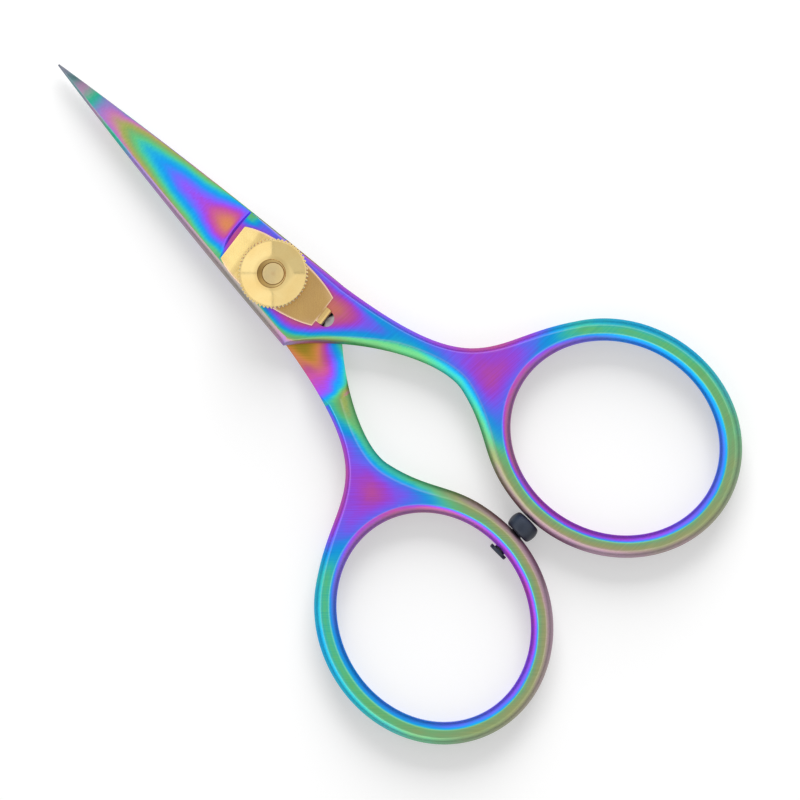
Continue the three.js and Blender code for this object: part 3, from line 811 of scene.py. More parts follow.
    def shell(self) -> Shell:
        """Joins the blade, shank, ring, bevels, sides and tip into one closed shell.

        Returns:
            The shell, before it is bored.
        """
        left, right, plunge, pivot_row, ramp_row = self.rows()
        face, back = self.strip(left, right, plunge, pivot_row, ramp_row)
        places = np.concatenate([left[-1:], self.even(*self.splits, self.ring_rows)])
        ring_face, ring_back, angle = self.ring_patch(places)
        bevels = [self.band_grid(left, plunge, False), self.band_grid(right, plunge, True),
                  self.band_grid(places, np.ones(len(places)), False), self.hole_grids(angle)]
        (left_face, left_back), (right_face, right_back) = bevels[:2]
        shell = Shell()
        for grid in (face, back, *bevels[0], *bevels[1], ring_face, ring_back, *bevels[2], *bevels[3],
                     *(self.wall(*bevel) for bevel in bevels)):
            shell.grid(grid)
        upper = np.concatenate([left_face[0][::-1], face[0][1:-1], right_face[0]])
        lower = np.concatenate([left_back[0][::-1], back[0][1:-1], right_back[0]])
        shell.grid(self.wall(upper[:, None], lower[:, None]).swapaxes(0, 1))
        return shell

    def beside_ring(self, grid: Array) -> Array:
        """Lays a turned grid across the gap between the rings: its axis along X, its zero on the ring's
        outside, and its Y at the place where the ellipse reaches furthest, less the lag.

        Args:
            grid: points about the Z axis.

        Returns:
            The points in the half's own frame.
        """
        lag = (self.hole_long + self.ring_wall) ** 2 - (self.hole_wide + self.ring_wall) ** 2
        back = (self.handle_reach + self.bumper_lag
                - lag * self.long_axis[0] * self.short_axis[0] / self.ring_reach(self.ring_wall))
        return np.stack([self.rings_apart / 2 - grid[..., 2], grid[..., 1] - back,
                         grid[..., 0] + self.thick / 2], axis=-1)

    def bores(self) -> list[Shell]:
        """The holes of this half, as solids that stand out of it.

        Returns:
            Neck and tab holes of the front half, or journal, glide washer, head and stem of the rear half.
        """
        under, above = self.ride_face - self.over, self.thick + self.over
        if self.side is Side.FRONT:
            tab = pin(self.tab_bore, self.thick - self.tab_bore_depth, above) + np.array([*self.tab_middle, 0])
            return [Shell(pin(self.pivot_bore, under, above, self.neck_flat)), Shell(tab)]
        stem = self.beside_ring(pin(self.stem_bore, -self.ring_wall - self.over, self.over, steps=48))
        return [Shell(pin(self.pivot_bore, under, above)),
                Shell(pin(self.glide_recess, under, self.ride_face + self.glide_depth)),
                Shell(pin(self.head_recess, self.thick - self.head_depth, above)), Shell(stem)]

    def layers(self, points: Array) -> Layers:
        """Rainbow film at points in the pivot's frame, with its painted shade and painted highlights."""
        return Film(self, self.place(points)).layers()


@dataclass
class Film:
    """Rainbow film of a half: the place of each point in one order of colours, from -1 for gold to 13
    for the dark tip, worked out from the half's shape. Pairs are the ends of smooth steps."""

    half: ShearHalf
    points: Array
    map_cell: float = 0.25
    map_edge: float = 8.0
    map_blur: float = 2.0
    outline_step: int = 4
    plan_step: int = 6
    hole_points: int = 400
    parts: int = 60
    band_least: float = 0.02
    crease_reach: float = 2.0
    ring_start: float = -25.0
    ring_scale: float = 13.2
    span: Pair = (-1.0, 13.0)
    # The ground blade: along its middle line, and how much higher towards its back and its edge.
    blade_middle: Table = (
        (7.0, 0.35), (9.0, 0.25), (10.0, 0.6), (12.0, 1.55), (14.0, 2.0), (16.0, 2.3), (18.0, 2.7), (20.0, 3.2),
        (22.0, 3.9), (24.0, 4.4), (26.0, 5.1), (28.0, 6.3), (30.0, 7.1), (32.0, 8.15), (32.9, 8.8), (34.6, 9.8),
        (36.0, 10.8), (37.5, 11.6), (38.8, 12.6))
    middle_shift: float = 0.15
    back_rise: Table = (
        (8.0, 4.0), (12.0, 2.85), (16.0, 2.7), (20.0, 2.4), (24.0, 2.0), (26.0, 1.5), (28.0, 1.0), (30.0, 0.3),
        (31.0, 0.0))
    back_reach: float = 0.8
    edge_rise: Table = (
        (8.0, 1.5), (10.0, 2.1), (14.0, 2.35), (16.0, 2.3), (20.0, 1.9), (26.0, 1.4), (28.0, 1.0), (30.0, 0.3),
        (31.0, 0.0))
    edge_reach: float = 0.65
    rise_power: float = 1.7
    rise_limit: float = 4.5
    line_start: float = 0.95
    line_width: float = 7.0
    line_blur: Pair = (-0.05, 0.05)
    line_least: float = 2.2
    line_fade: Pair = (1.0, 0.25)
    # The flats behind the grind line: by the steel around, leaning by the inner and the outer side.
    handle_film: Table = (
        (0.0, 6.5), (0.4, 5.2), (0.55, 4.4), (0.664, 3.9), (0.727, 2.8), (0.79, 2.0), (0.87, 1.15), (0.91, 0.85),
        (0.96, 0.5), (1.0, 0.3))
    web_film: Table = (
        (0.0, 6.0), (0.4, 4.2), (0.55, 3.4), (0.664, 2.95), (0.727, 2.65), (0.79, 2.4), (0.87, 2.05), (0.91, 1.8),
        (0.96, 1.5), (1.0, 1.35))
    inner_lean: Triple = (1.1, 0.8, 1.0)
    outer_lean: Triple = (-1.8, 0.5, 1.3)
    web_lean: float = 0.7
    web_middle: Pair = (9.3, -29.0)
    web_reach: Pair = (11.0, 5.5)
    arm_rise: float = 0.8
    arm_band: Pair = (-13.2, 2.8)
    arm_end: Pair = (5.0, 7.0)
    arm_low: Pair = (4.0, 2.5)
    corner_rise: float = 1.6
    corner_place: Pair = (3.4, 7.4)
    tongue_rise: float = 1.3
    tongue_height: Pair = (1.0, 0.5)
    tongue_start: Pair = (-8.0, -12.0)
    tongue_reach: Pair = (25.0, 18.5)
    # The ring: mean, height and heading in degrees of the wave round it on each surface.
    ring_flat: Triple = (5.3, 0.55, 50.0)
    ring_violet: float = 1.8
    violet_turn: Pair = (130.0, 175.0)
    ring_rim: Triple = (0.1, 1.1, 95.0)
    hole_film: Triple = (2.45, 0.8, -80.0)
    hole_turn: Pair = (110.0, 160.0)
    hole_crease: Triple = (0.25, 0.7, 60.0)
    ring_join: Pair = (165.0, 138.0)
    ring_limit: float = 4.0
    # Steps across the ring, from its creases by the hole and by the rim, and from its outer wall.
    hole_rise: Pair = (0.0, 0.7)
    rim_rise: Pair = (-0.4, -0.25)
    veil_in: Pair = (-0.1, 0.3)
    veil_out: Pair = (-0.1, -0.3)
    side_out: Pair = (-0.3, -0.4)
    # The outline's bevels.
    spine_rim: Table = (
        (-7.5, 7.5), (-6.0, 7.0), (-4.3, 6.5), (-1.0, 6.2), (2.4, 6.2), (5.7, 6.5), (9.0, 6.8), (12.3, 7.1),
        (15.6, 7.3), (19.0, 7.5), (22.2, 7.6), (25.6, 8.2), (28.9, 9.0), (32.2, 10.2), (35.5, 10.8), (38.8, 12.0))
    inner_rim: Table = (
        (0.0, 7.6), (1.1, 7.4), (3.8, 6.9), (6.4, 5.8), (9.0, 5.1), (14.0, 4.95), (18.3, 4.95), (20.2, 4.7),
        (22.5, 4.4), (25.0, 4.35), (27.0, 4.6), (29.6, 5.1), (33.0, 5.8))
    outer_rim: Table = (
        (-27.5, 1.5), (-25.2, 1.3), (-23.3, 1.6), (-20.6, 2.0), (-17.1, 2.3), (-12.3, 2.1), (-6.7, 1.9), (0.0, 1.9),
        (7.6, 2.4), (12.0, 4.0), (24.0, 6.5), (38.8, 12.0))
    inner_rows: int = 250
    tongue_on_rim: float = 0.2
    sharp_fade: Pair = (-0.03, 0.1)
    round_fade: Pair = (-0.15, 0.75)
    # The ride face and its ramp.
    ramp_fall: Table = (
        (9.0, -0.9), (10.0, -0.8), (11.0, -0.4), (12.5, 0.5), (14.1, 1.5), (15.0, 2.3), (15.8, 3.2), (16.7, 4.0),
        (17.5, 4.8), (18.5, 5.4))
    ramp_side: Table = ((12.0, 1.0), (14.0, 0.1), (16.0, -1.0), (17.5, -0.5))
    ramp_start: Pair = (-9.0, -12.0)
    ramp_outer: Pair = (4.2, 5.6)
    ramp_inner: Triple = (0.75, 4.0, 1.3)
    cover_rise: float = 0.25
    cover_past: float = 0.2
    cover_fade: float = 1.4
    cover_end: float = 2.0
    # The grey veil, with painted shade among it on the finger hole's wall by the web, and the painted highlight along
    # the creases.
    spine_veil: Table = ((-7.5, 0.1), (-6, 0.5), (-4, 0.8), (10, 0.8), (15, 0.6), (20, 0.35), (26, 0.3))
    rim_veil: float = 0.55
    veil_start: Pair = (5.7, 6.2)
    veil_end: Pair = (7.9, 7.3)
    ring_veil: Pair = (0.3, 0.4)
    veil_turn: float = 0.75
    hole_shade_veil: float = 0.45
    hole_inside: Pair = (0.9, 0.3)
    hole_shade_turn: Pair = (100.0, 150.0)
    crease_sheen_most: float = 0.14
    crease_sheen_width: float = 0.12
    crease_sheen_band: float = 0.15
    # The hole of the plate's tab: painted shadow, the near-black end of the colours, on its walls and bottom, and a
    # painted highlight, grey and pale, on the far side that faces the light.
    tab_shadow_order: float = 15.0
    tab_reach: float = 1.12
    tab_past: Pair = (0.35, 0.8)
    tab_sheen: float = 0.6
    tab_under: float = 0.1
    tab_lit_under: float = 1.0
    tab_floor: float = 2.0

    def __post_init__(self) -> None:
        """Works out where the points lie: from the pivot, round the ring, and across the nearest bevel."""
        half, points = self.half, self.points
        self.x, self.y, self.z = points.T
        self.reach = np.hypot(self.x, self.y)
        offset = points[:, :2] - half.ring_middle
        wide, long = offset @ half.short_axis / half.hole_wide, offset @ half.long_axis / half.hole_long
        self.angle = np.degrees(np.arctan2(wide, long))
        self.turn = np.abs(self.angle)
        self.margin = (np.hypot(wide, long) - 1) * self.ring_scale
        self.rows = self.nearest(0, len(half.table))[0]
        band = half.table[self.rows]
        self.band_width = np.hypot(band[:, 2], band[:, 3])
        self.across = ((points[:, :2] - band[:, :2]) * band[:, 2:]).sum(-1) / np.maximum(self.band_width, 1e-6) ** 2

    def steel_map(self) -> tuple[Array, Array]:
        """Map of how much steel surrounds each place: the half's plan, filled and blurred. A cell is
        filled when an odd number of the plan's edges cross its row to the right of it.

        Returns:
            The map, and the X and Y where it starts.
        """
        plan = self.half.table[:, :2]
        low = plan.min(0) - self.map_edge
        size = np.ceil((plan.max(0) + self.map_edge - low) / self.map_cell).astype(int)
        x, y = (low[i] + self.map_cell * (np.arange(size[i]) + 0.5) for i in (0, 1))
        crossings = np.zeros((len(y), len(x) + 1), int)
        hole = self.half.ring_point(np.linspace(0, 2 * math.pi, self.hole_points, endpoint=False), 0)
        for loop in (plan[::self.plan_step], hole):
            after = np.roll(loop, -1, axis=0)
            side, row = np.nonzero((loop[:, 1:] > y) != (after[:, 1:] > y))
            (x0, y0), (x1, y1) = loop[side].T, after[side].T
            np.add.at(crossings, (row, np.searchsorted(x, x0 + (y[row] - y0) / (y1 - y0) * (x1 - x0))), 1)
        inside = np.cumsum(crossings[:, ::-1], axis=1)[:, ::-1][:, 1:] % 2
        return blurred(inside.astype(float), self.map_blur / self.map_cell), low

    def steel_around(self) -> Array:
        """How much steel surrounds each point: the blurred plan, interpolated.

        Returns:
            Shares from 0 to 1.
        """
        picture, low = self.steel_map()
        column, row = (np.clip((self.points[:, i] - low[i]) / self.map_cell - 0.5, 0, picture.shape[1 - i] - 1.001)
                       for i in (0, 1))
        i, j = row.astype(int), column.astype(int)
        return toward(toward(picture[i, j], picture[i, j + 1], column - j),
                      toward(picture[i + 1, j], picture[i + 1, j + 1], column - j), row - i)

    def nearest(self, first: int, end: int) -> tuple[Array, Array]:
        """Nearest row of the outline to each point, trying one row in a few.

        Args:
            first: first row to try.
            end: row to stop before.

        Returns:
            Row numbers and distances.
        """
        rows = np.arange(first, end, self.outline_step)
        line = self.half.table[rows, :2]
        place, reach = [], []
        for part in np.array_split(self.points[:, :2], self.parts):
            far = ((part[:, None] - line) ** 2).sum(-1)
            place.append(rows[np.argmin(far, axis=1)])
            reach.append(np.sqrt(far.min(axis=1)))
        return np.concatenate(place), np.concatenate(reach)

    def blade_order(self) -> Array:
        """Film on the ground blade: the order on its middle line, which lies a little towards the edge,
        plus a rise towards each side with a power of the distance.

        Returns:
            Place in the order of colours.
        """
        q = (self.x - self.half.middle_x(self.y)) / np.maximum(self.half.half_width(self.y), 0.1) - self.middle_shift
        rise = np.where(q < 0, looked_up(self.back_rise, self.y) * np.abs(q / self.back_reach) ** self.rise_power,
                        looked_up(self.edge_rise, self.y) * np.abs(q / self.edge_reach) ** self.rise_power)
        return looked_up(self.blade_middle, self.y) + np.minimum(rise, self.rise_limit)

    @staticmethod
    def leaned(distance: Array, height: float, start: float, fade: float) -> Array:
        """Height near a side, falling with exp(-distance / fade) from the start on."""
        return height * np.exp(-np.maximum(distance - start, 0) / fade)

    def handle_order(self) -> Array:
        """Film on the flats behind the grind line: falls with the steel around, a little higher by the
        inner side and a little lower by the outer side, both fading within a millimetre or so.

        Returns:
            Place in the order of colours.
        """
        half = self.half
        turn = sum(half.splits) // 2
        lean = (self.leaned(self.nearest(0, turn)[1], *self.inner_lean)
                + self.leaned(self.nearest(turn, len(half.table))[1], *self.outer_lean))
        steel = self.steel_around()
        arm = looked_up(self.handle_film, steel) + lean
        bump = np.exp(-((self.y - self.arm_band[0]) / self.arm_band[1]) ** 2) + smooth(self.y, *self.arm_end)
        arm = arm + self.arm_rise * bump * smooth(arm, *self.arm_low)
        web = looked_up(self.web_film, steel) + self.web_lean * lean
        near = smooth(np.hypot(self.x - self.web_middle[0], self.y - self.web_middle[1]), *self.web_reach)
        corner = (self.x - self.corner_place[0]) ** 2 + (self.y - self.corner_place[1]) ** 2
        return toward(arm, web, near) + self.corner_rise * np.exp(-corner / self.corner_rise)

    def wave(self, mean: float, height: float, heading: float) -> Array:
        """Mean plus the height times the cosine of the ring's angle and the heading, in degrees."""
        return mean + height * np.cos(np.radians(self.angle + heading))

    def past_hole(self, low: float, high: float) -> Array:
        """Smooth step out over the crease by the hole."""
        return smooth(self.margin, self.half.hole_band + low, self.half.hole_band + high)

    def past_rim(self, low: float, high: float) -> Array:
        """Smooth step out over the rim, from its crease to the wall."""
        half = self.half
        return smooth(self.margin, half.ring_wall - half.ring_band + low, half.ring_wall + high)

    def ring_order(self) -> Array:
        """Film on the ring: waves round it on the flat, on the outer rim and on the hole's wall, the
        flat's falling to violet at the web, and the bevels running between them.

        Returns:
            Place in the order of colours.
        """
        flat = toward(self.wave(*self.ring_flat), self.ring_violet, smooth(self.turn, *self.violet_turn))
        rim = flat + self.wave(*self.ring_rim)
        wall = self.wave(*self.hole_film) - self.hole_film[1] * smooth(self.turn, *self.hole_turn)
        least, height, heading = self.hole_crease
        crease = flat - height * np.maximum(least, self.wave(0, 1, heading))
        outer = toward(toward(crease, flat, self.past_hole(*self.hole_rise)), rim, self.past_rim(*self.rim_rise))
        rise = np.clip(self.margin / self.half.hole_band, 0, 1)
        return np.where(rise < 1, toward(np.minimum(wall, flat), crease, rise ** 6), outer)

    def ride_order(self) -> Array:
        """Film on the inner face near the pivot: from gold to green down the ramp, higher towards the
        inner side, and at the outer side flattened to violet.

        Returns:
            Place in the order of colours.
        """
        height, limit, power = self.ramp_inner
        inward = height * np.maximum(0, limit - self.x) ** power * smooth(self.y, *self.ramp_start)
        outward = smooth(self.x, *self.ramp_outer) * looked_up(self.ramp_side, -self.y)
        return looked_up(self.ramp_fall, -self.y) + inward + outward

    def rim_order(self) -> Array:
        """Film at the side end of the outline's bevel nearest to each point.

        Returns:
            Place in the order of colours.
        """
        half, y = self.half, self.half.table[self.rows, 1]
        distance = along(half.table)
        past = distance[self.rows] - distance[half.corner]
        behind = np.where(self.rows < half.splits[0] + self.inner_rows, looked_up(self.inner_rim, past),
                          looked_up(self.outer_rim, y))
        return np.where(self.rows <= half.corner, looked_up(self.spine_rim, y), behind)

    def flat_order(self) -> Array:
        """Film on the flats: the handle's and the blade's, joined at the curved grind line.

        Returns:
            Place in the order of colours.
        """
        share = np.clip((self.x - self.half.spine_x(self.y) - self.line_start) / self.line_width, 0, 1)
        past = self.y - (self.half.grind_line - self.half.grind_sweep * (1 - share) ** 2)
        blade = self.blade_order()
        blade = blade + np.maximum(0, self.line_least - blade) * smooth(past, *self.line_fade)
        return toward(self.handle_order(), blade, smooth(past, *self.line_blur))

    def layers(self) -> Layers:
        """Joins the film of the flats, the ring, the bevels, the ride face and the tab's hole.

        Returns:
            Place in the order of colours, with the painted shadow of the tab's hole; how grey the film is; and the
            painted highlight along the creases and on the lit side of the tab's hole.
        """
        half = self.half
        ringward = self.y < self.ring_start
        tongue = (self.tongue_rise * smooth(self.z, *self.tongue_height) * smooth(self.y, *self.tongue_start)
                  * smooth(self.reach, *self.tongue_reach))
        order = self.flat_order() + tongue
        down = np.where(self.band_width > self.band_least, np.clip(1 - self.across, 0, 1), 0)
        ramp_end = half.ramp_radius + self.cover_past
        covered = (self.z < half.ride_face + self.cover_rise) & (self.reach < ramp_end)
        sharp = (self.rows < half.corner) | (self.rows > half.edge_row)
        on_rim = (np.where(sharp, smooth(down, *self.sharp_fade), smooth(down, *self.round_fade))
                  * ~(covered | (down <= 0)))
        order = toward(order, self.rim_order() + self.tongue_on_rim * tongue, on_rim)
        on_ring = smooth(self.turn, *self.ring_join) * (self.margin < self.ring_limit) * ringward
        in_hole = (self.margin < half.hole_band) & ringward
        order = toward(order, self.ring_order(), np.maximum(on_ring, in_hole))
        veil = self.veil(order, on_rim, on_ring, in_hole)
        ride = covered & (self.y < self.cover_end)
        near_pivot = ride * smooth(self.reach, ramp_end, half.ramp_radius - self.cover_fade)
        order = toward(order, self.ride_order(), near_pivot)
        # Painted highlight: a thin pale line along the outline's creases and along the finger hole's crease.
        crease = np.where((self.margin < self.crease_reach) & ringward, self.margin / half.hole_band, self.across)
        wear_and_sheen = (self.crease_sheen_most * np.clip(1 - np.abs(crease - 1) / self.crease_sheen_width, 0, 1)
                * ((self.band_width > self.crease_sheen_band) & ~ride))
        # Painted shadow in the tab's hole: its walls and bottom take the near-black end of the colours, and the far
        # side, which faces the light, gets a painted highlight of grey and pale.
        aside = self.points[:, :2] - half.tab_middle
        tab = ((np.hypot(*aside.T) < self.tab_reach) & (self.z < half.thick - self.tab_under)
               & (self.z > self.tab_floor) & (half.side is Side.FRONT))
        past = aside @ half.tab_middle / np.hypot(*half.tab_middle)
        lit = smooth(past, *self.tab_past) * (self.z < half.thick - self.tab_lit_under)
        return {"film": np.where(tab, self.tab_shadow_order, np.clip(order, *self.span)),
                "veil": np.where(tab, lit, veil), "wear_and_sheen": np.where(tab, self.tab_sheen * lit, wear_and_sheen)}

    def veil(self, order: Array, on_rim: Array, on_ring: Array, in_hole: Array) -> Array:
        """How grey the film is: on the bevels where it is gold, on the ring's flat and rim on one side,
        and inside the hole by the web, where the grey is painted shade.

        Args:
            order: the film's place in the order of colours.
            on_rim: share of the outline's bevel.
            on_ring: share of the ring.
            in_hole: whether a point is on the hole's bevel or wall.

        Returns:
            Share of grey.
        """
        on_side = np.maximum(on_rim, on_ring * self.past_rim(*self.side_out))
        grey = np.where(self.rows <= self.half.corner, looked_up(self.spine_veil, self.y), self.rim_veil)
        golden = smooth(order, *self.veil_start) * smooth(order, *self.veil_end)
        lean = np.clip(np.cos(np.radians((self.angle + self.ring_flat[2]) * self.veil_turn)), 0, 1)
        flat, rim = self.ring_veil
        ring = on_ring * self.past_hole(*self.veil_in) * lean * (flat + rim * self.past_rim(*self.veil_out))
        # Painted shade: the finger hole's wall by the web is greyed where it lies in shade.
        wall = (self.hole_shade_veil * in_hole * smooth(self.margin, *self.hole_inside)
                * smooth(self.turn, *self.hole_shade_turn))
        return np.maximum(np.maximum(grey * on_side * golden, ring), wall)


# Finishes

Socket = bpy.types.NodeSocket
Value = float | str | Sequence[float] | Socket


def linear(code: str) -> tuple[float, float, float, float]:
    """Turns a colour written as six hexadecimal digits into linear light."""
    parts = [int(code[i:i + 2], 16) / 255 for i in (0, 2, 4)]
    return (*[part / 12.92 if part <= 0.04045 else ((part + 0.055) / 1.055) ** 2.4 for part in parts], 1.0)


class Tree:
    """A node tree, with short ways to add nodes and to fill their inputs."""

    def __init__(self, tree: bpy.types.NodeTree) -> None:
        """Keeps the tree's nodes and links at hand."""
        self.tree, self.nodes, self.links = tree, tree.nodes, tree.links

    def feed(self, socket: Socket, value: Value) -> None:
        """Links a socket to another, or sets it to a number or to a colour code's colour.

        Args:
            socket: the input.
            value: what goes into it.
        """
        if isinstance(value, Socket):
            self.links.new(value, socket)
        else:
            socket.default_value = linear(value) if isinstance(value, str) else value

    def add(self, kind: str, inputs: dict[str | int, Value], **settings: object) -> bpy.types.Node:
        """Adds a node.

        Args:
            kind: its type, without ShaderNode.
            inputs: names or numbers of its inputs, and what goes into them.
            settings: its settings.

        Returns:
            The node.
        """
        node = self.nodes.new("ShaderNode" + kind)
        for name, value in settings.items():
            setattr(node, name, value)
        for socket, value in inputs.items():
            self.feed(node.inputs[socket], value)
        return node

    def calc(self, operation: str, *values: Value) -> Socket:
        """Adds a Math node."""
        return self.add("Math", dict(enumerate(values)), operation=operation).outputs[0]

    def mixed(self, start: Value, end: Value, share: Value, kind: str = "RGBA", blend: str = "MIX"
              ) -> Socket:
        """Adds a mix of two colours or numbers.

        Args:
            start: the first.
            end: the second.
            share: how much of the second.
            kind: RGBA for colours, FLOAT for numbers.
            blend: how they are mixed.

        Returns:
            Its output.
        """
        inputs = {"Factor": share, "A": start, "B": end}
        return self.add("Mix", inputs, data_type=kind, blend_type=blend).outputs["Result"]

    def scaled(self, value: Value, low: float, high: float, ends: Pair = (0.0, 1.0),
               kind: str = "LINEAR") -> Socket:
        """Adds a Map Range node.

        Args:
            value: what is scaled.
            low: where it starts.
            high: where it ends.
            ends: the results there.
            kind: how it goes between them.

        Returns:
            Its output.
        """
        inputs = {"Value": value, "From Min": low, "From Max": high, "To Min": ends[0], "To Max": ends[1]}
        return self.add("MapRange", inputs, interpolation_type=kind).outputs[0]

    def noise(self, place: Value, scale: Value, detail: float, roughness: float = 0.5) -> Socket:
        """Adds noise.

        Args:
            place: where it is read.
            scale: features a metre.
            detail: octaves.
            roughness: share of each further octave.

        Returns:
            Its output.
        """
        inputs = {"Vector": place, "Scale": scale, "Detail": detail, "Roughness": roughness}
        return self.add("TexNoise", inputs).outputs["Fac"]

    def stored(self, name: str) -> Socket:
        """Adds a node that reads a number stored on the piece's points."""
        return self.add("Attribute", {}, attribute_name=name).outputs["Fac"]


class Group(Tree):
    """A node group that is being made."""

    def __init__(self, name: str, inputs: dict[str, float], outputs: dict[str, str]) -> None:
        """Starts the group.

        Args:
            name: its name.
            inputs: names and default values of its number inputs.
            outputs: names of its outputs and their socket types.
        """
        super().__init__(bpy.data.node_groups.new(name, "ShaderNodeTree"))
        sockets = self.tree.interface
        for label, value in inputs.items():
            sockets.new_socket(label, in_out="INPUT", socket_type="NodeSocketFloat").default_value = value
        for label, kind in outputs.items():
            sockets.new_socket(label, in_out="OUTPUT", socket_type=kind)
        self.given = self.nodes.new("NodeGroupInput").outputs
        self.result = self.nodes.new("NodeGroupOutput").inputs


class Material(Tree):
    """A material that is being made."""

    def __init__(self, name: str) -> None:
        """Starts the material with its shader."""
        self.made = bpy.data.materials.new(name)
        self.made.use_nodes = True
        super().__init__(self.made.node_tree)
        self.shader = self.nodes["Principled BSDF"].inputs

    def grained(self, grain: Value, gloss: Pair, depth: float, height: float) -> None:
        """Lets a grain change the gloss and raise the surface.

        Args:
            grain: the grain, from 0 to 1.
            gloss: roughness at its ends.
            depth: strength of the bump.
            height: height of the bump in metres.
        """
        self.feed(self.shader["Roughness"], self.scaled(grain, 0.0, 1.0, gloss))
        bump = self.add("Bump", {"Strength": depth, "Distance": height, "Height": grain})
        self.feed(self.shader["Normal"], bump.outputs[0])


# Grey that the veil mixes in: dull film on the bevels and the ring, painted shade on the finger hole's wall by the
# web, and a painted highlight on the lit side of the tab's hole.
VEIL_GREY = "989296"

# The order of colours: where it starts, how far it goes, and the colour at each place in it. The last, near-black
# stop serves only the painted shadow in the tab's hole.
FILM_START, FILM_SPAN = -1, 16
FILM_STOPS = (
    (-1.0, "98842a"), (0.0, "d08850"), (0.8, "c86a80"), (1.5, "b850b0"), (2.2, "8a5af0"), (3.0, "3f86f0"),
    (4.0, "2cb0d0"), (4.7, "58c090"), (5.4, "80ad6e"), (6.2, "a8a26a"), (7.0, "c07cb0"), (7.8, "8488c0"),
    (8.8, "40b090"), (9.8, "a88aa8"), (10.8, "709498"), (11.6, "808898"), (13.0, "60686f"), (13.4, "565e64"),
    (15.0, "0a0f0d"))


def film_colours() -> bpy.types.NodeTree:
    """Group that turns the film's order into its colour.

    Returns:
        The group, with a Film input and a Colour output.
    """
    group = Group("film_colours", {"Film": 5.0}, {"Colour": "NodeSocketColor"})
    share = group.calc("MULTIPLY_ADD", group.given["Film"], 1 / FILM_SPAN, -FILM_START / FILM_SPAN)
    ramp = group.add("ValToRGB", {"Fac": share})
    ramp.color_ramp.interpolation = "CARDINAL"
    elements = ramp.color_ramp.elements
    while len(elements) < len(FILM_STOPS):
        elements.new(0.5)
    for element, (place, code) in zip(elements, FILM_STOPS):
        element.position = (place - FILM_START) / FILM_SPAN
        element.color = linear(code)
    group.feed(group.result["Colour"], ramp.outputs["Color"])
    return group.tree


def brushed_grain() -> bpy.types.NodeTree:
    """Group of fine drawn-out scratches: noise on Object coordinates, turned and stretched.

    Returns:
        The group, with inputs for the turn, the number of scratches a metre and their stretch, and
        outputs for the grain and for slow stains, both from 0 to 1.
    """
    group = Group("brushed_grain", {"Turn": 0.0, "Fineness": 9000.0, "Stretch": 0.03},
                  {"Grain": "NodeSocketFloat", "Stain": "NodeSocketFloat"})
    place = group.add("TexCoord", {}).outputs["Object"]
    turn = group.add("VectorRotate", {"Vector": place, "Angle": group.given["Turn"]}, rotation_type="Z_AXIS")
    x, y, z = group.add("SeparateXYZ", {0: turn.outputs["Vector"]}).outputs
    drawn = group.add("CombineXYZ", {"X": group.calc("MULTIPLY", x, group.given["Stretch"]), "Y": y, "Z": z})
    group.feed(group.result["Grain"], group.noise(drawn.outputs[0], group.given["Fineness"], 4.0, 0.65))
    group.feed(group.result["Stain"], group.noise(place, 260.0, 3.0))
    return group.tree


@dataclass(frozen=True)
class MetalFinish:
    """A metal with drawn or turned grain: colour, gloss, and how deep and how fine the grain is. The
    second colour shows by the tone stored on the piece, which is painted shade on the nut, painted highlight
    and shade on the plate and brown at the screw's end; the highlight colour shows by a painted highlight
    stored on the piece along its creases and rims."""

    name: str
    colour: str = ""
    roughness: float = 0.25
    grain_turn: float = 0.0
    fineness: float = 9000.0
    stretch: float = 0.03
    depth: float = 0.15
    dark: float = 0.75
    second: str = ""
    mottle: str = ""
    wear_and_sheen: str = ""
    stain_shift: float = 0.9
    hair_shift: float = 0.5
    grain_height: float = 0.00002

    def material(self, grain: bpy.types.NodeTree, film: bpy.types.NodeTree | None = None) -> bpy.types.Material:
        """Makes the material.

        Args:
            grain: the group of scratches.
            film: the group of film colours, for a metal that has them in place of its own colour.

        Returns:
            The material.
        """
        tree = Material(self.name)
        tree.feed(tree.shader["Metallic"], 1.0)
        lines = tree.add("Group", {"Turn": self.grain_turn, "Fineness": self.fineness, "Stretch": self.stretch},
                         node_tree=grain).outputs
        base = self.colour
        if film:
            stain = tree.calc("MULTIPLY_ADD", lines["Stain"], self.stain_shift, -self.stain_shift / 2)
            hair = tree.calc("MULTIPLY_ADD", lines["Grain"], self.hair_shift, -self.hair_shift / 2)
            order = tree.calc("ADD", tree.stored("film"), tree.calc("ADD", stain, hair))
            colour = tree.add("Group", {"Film": order}, node_tree=film).outputs["Colour"]
            # Grey by the veil layer: dull film, painted shade on the finger hole's wall, and a painted highlight in
            # the tab's hole.
            base = tree.mixed(colour, VEIL_GREY, tree.stored("veil"))
        if self.second:
            base = tree.mixed(base, self.second, tree.stored("tone"))
        if self.mottle:
            patches = tree.scaled(lines["Stain"], 0.4, 0.75)
            base = tree.mixed(base, self.mottle, tree.calc("MULTIPLY", patches, 0.5))
        # Painted highlight along creases and rims, from the stored layer.
        if self.wear_and_sheen:
            base = tree.mixed(base, self.wear_and_sheen, tree.stored("wear_and_sheen"))
        shade = tree.scaled(lines["Grain"], 0.3, 0.7, (self.dark, 1.0))
        tree.feed(tree.shader["Base Color"], tree.mixed(base, shade, 1.0, blend="MULTIPLY"))
        tree.grained(lines["Grain"], (self.roughness * 0.8, self.roughness * 1.25), self.depth, self.grain_height)
        return tree.made


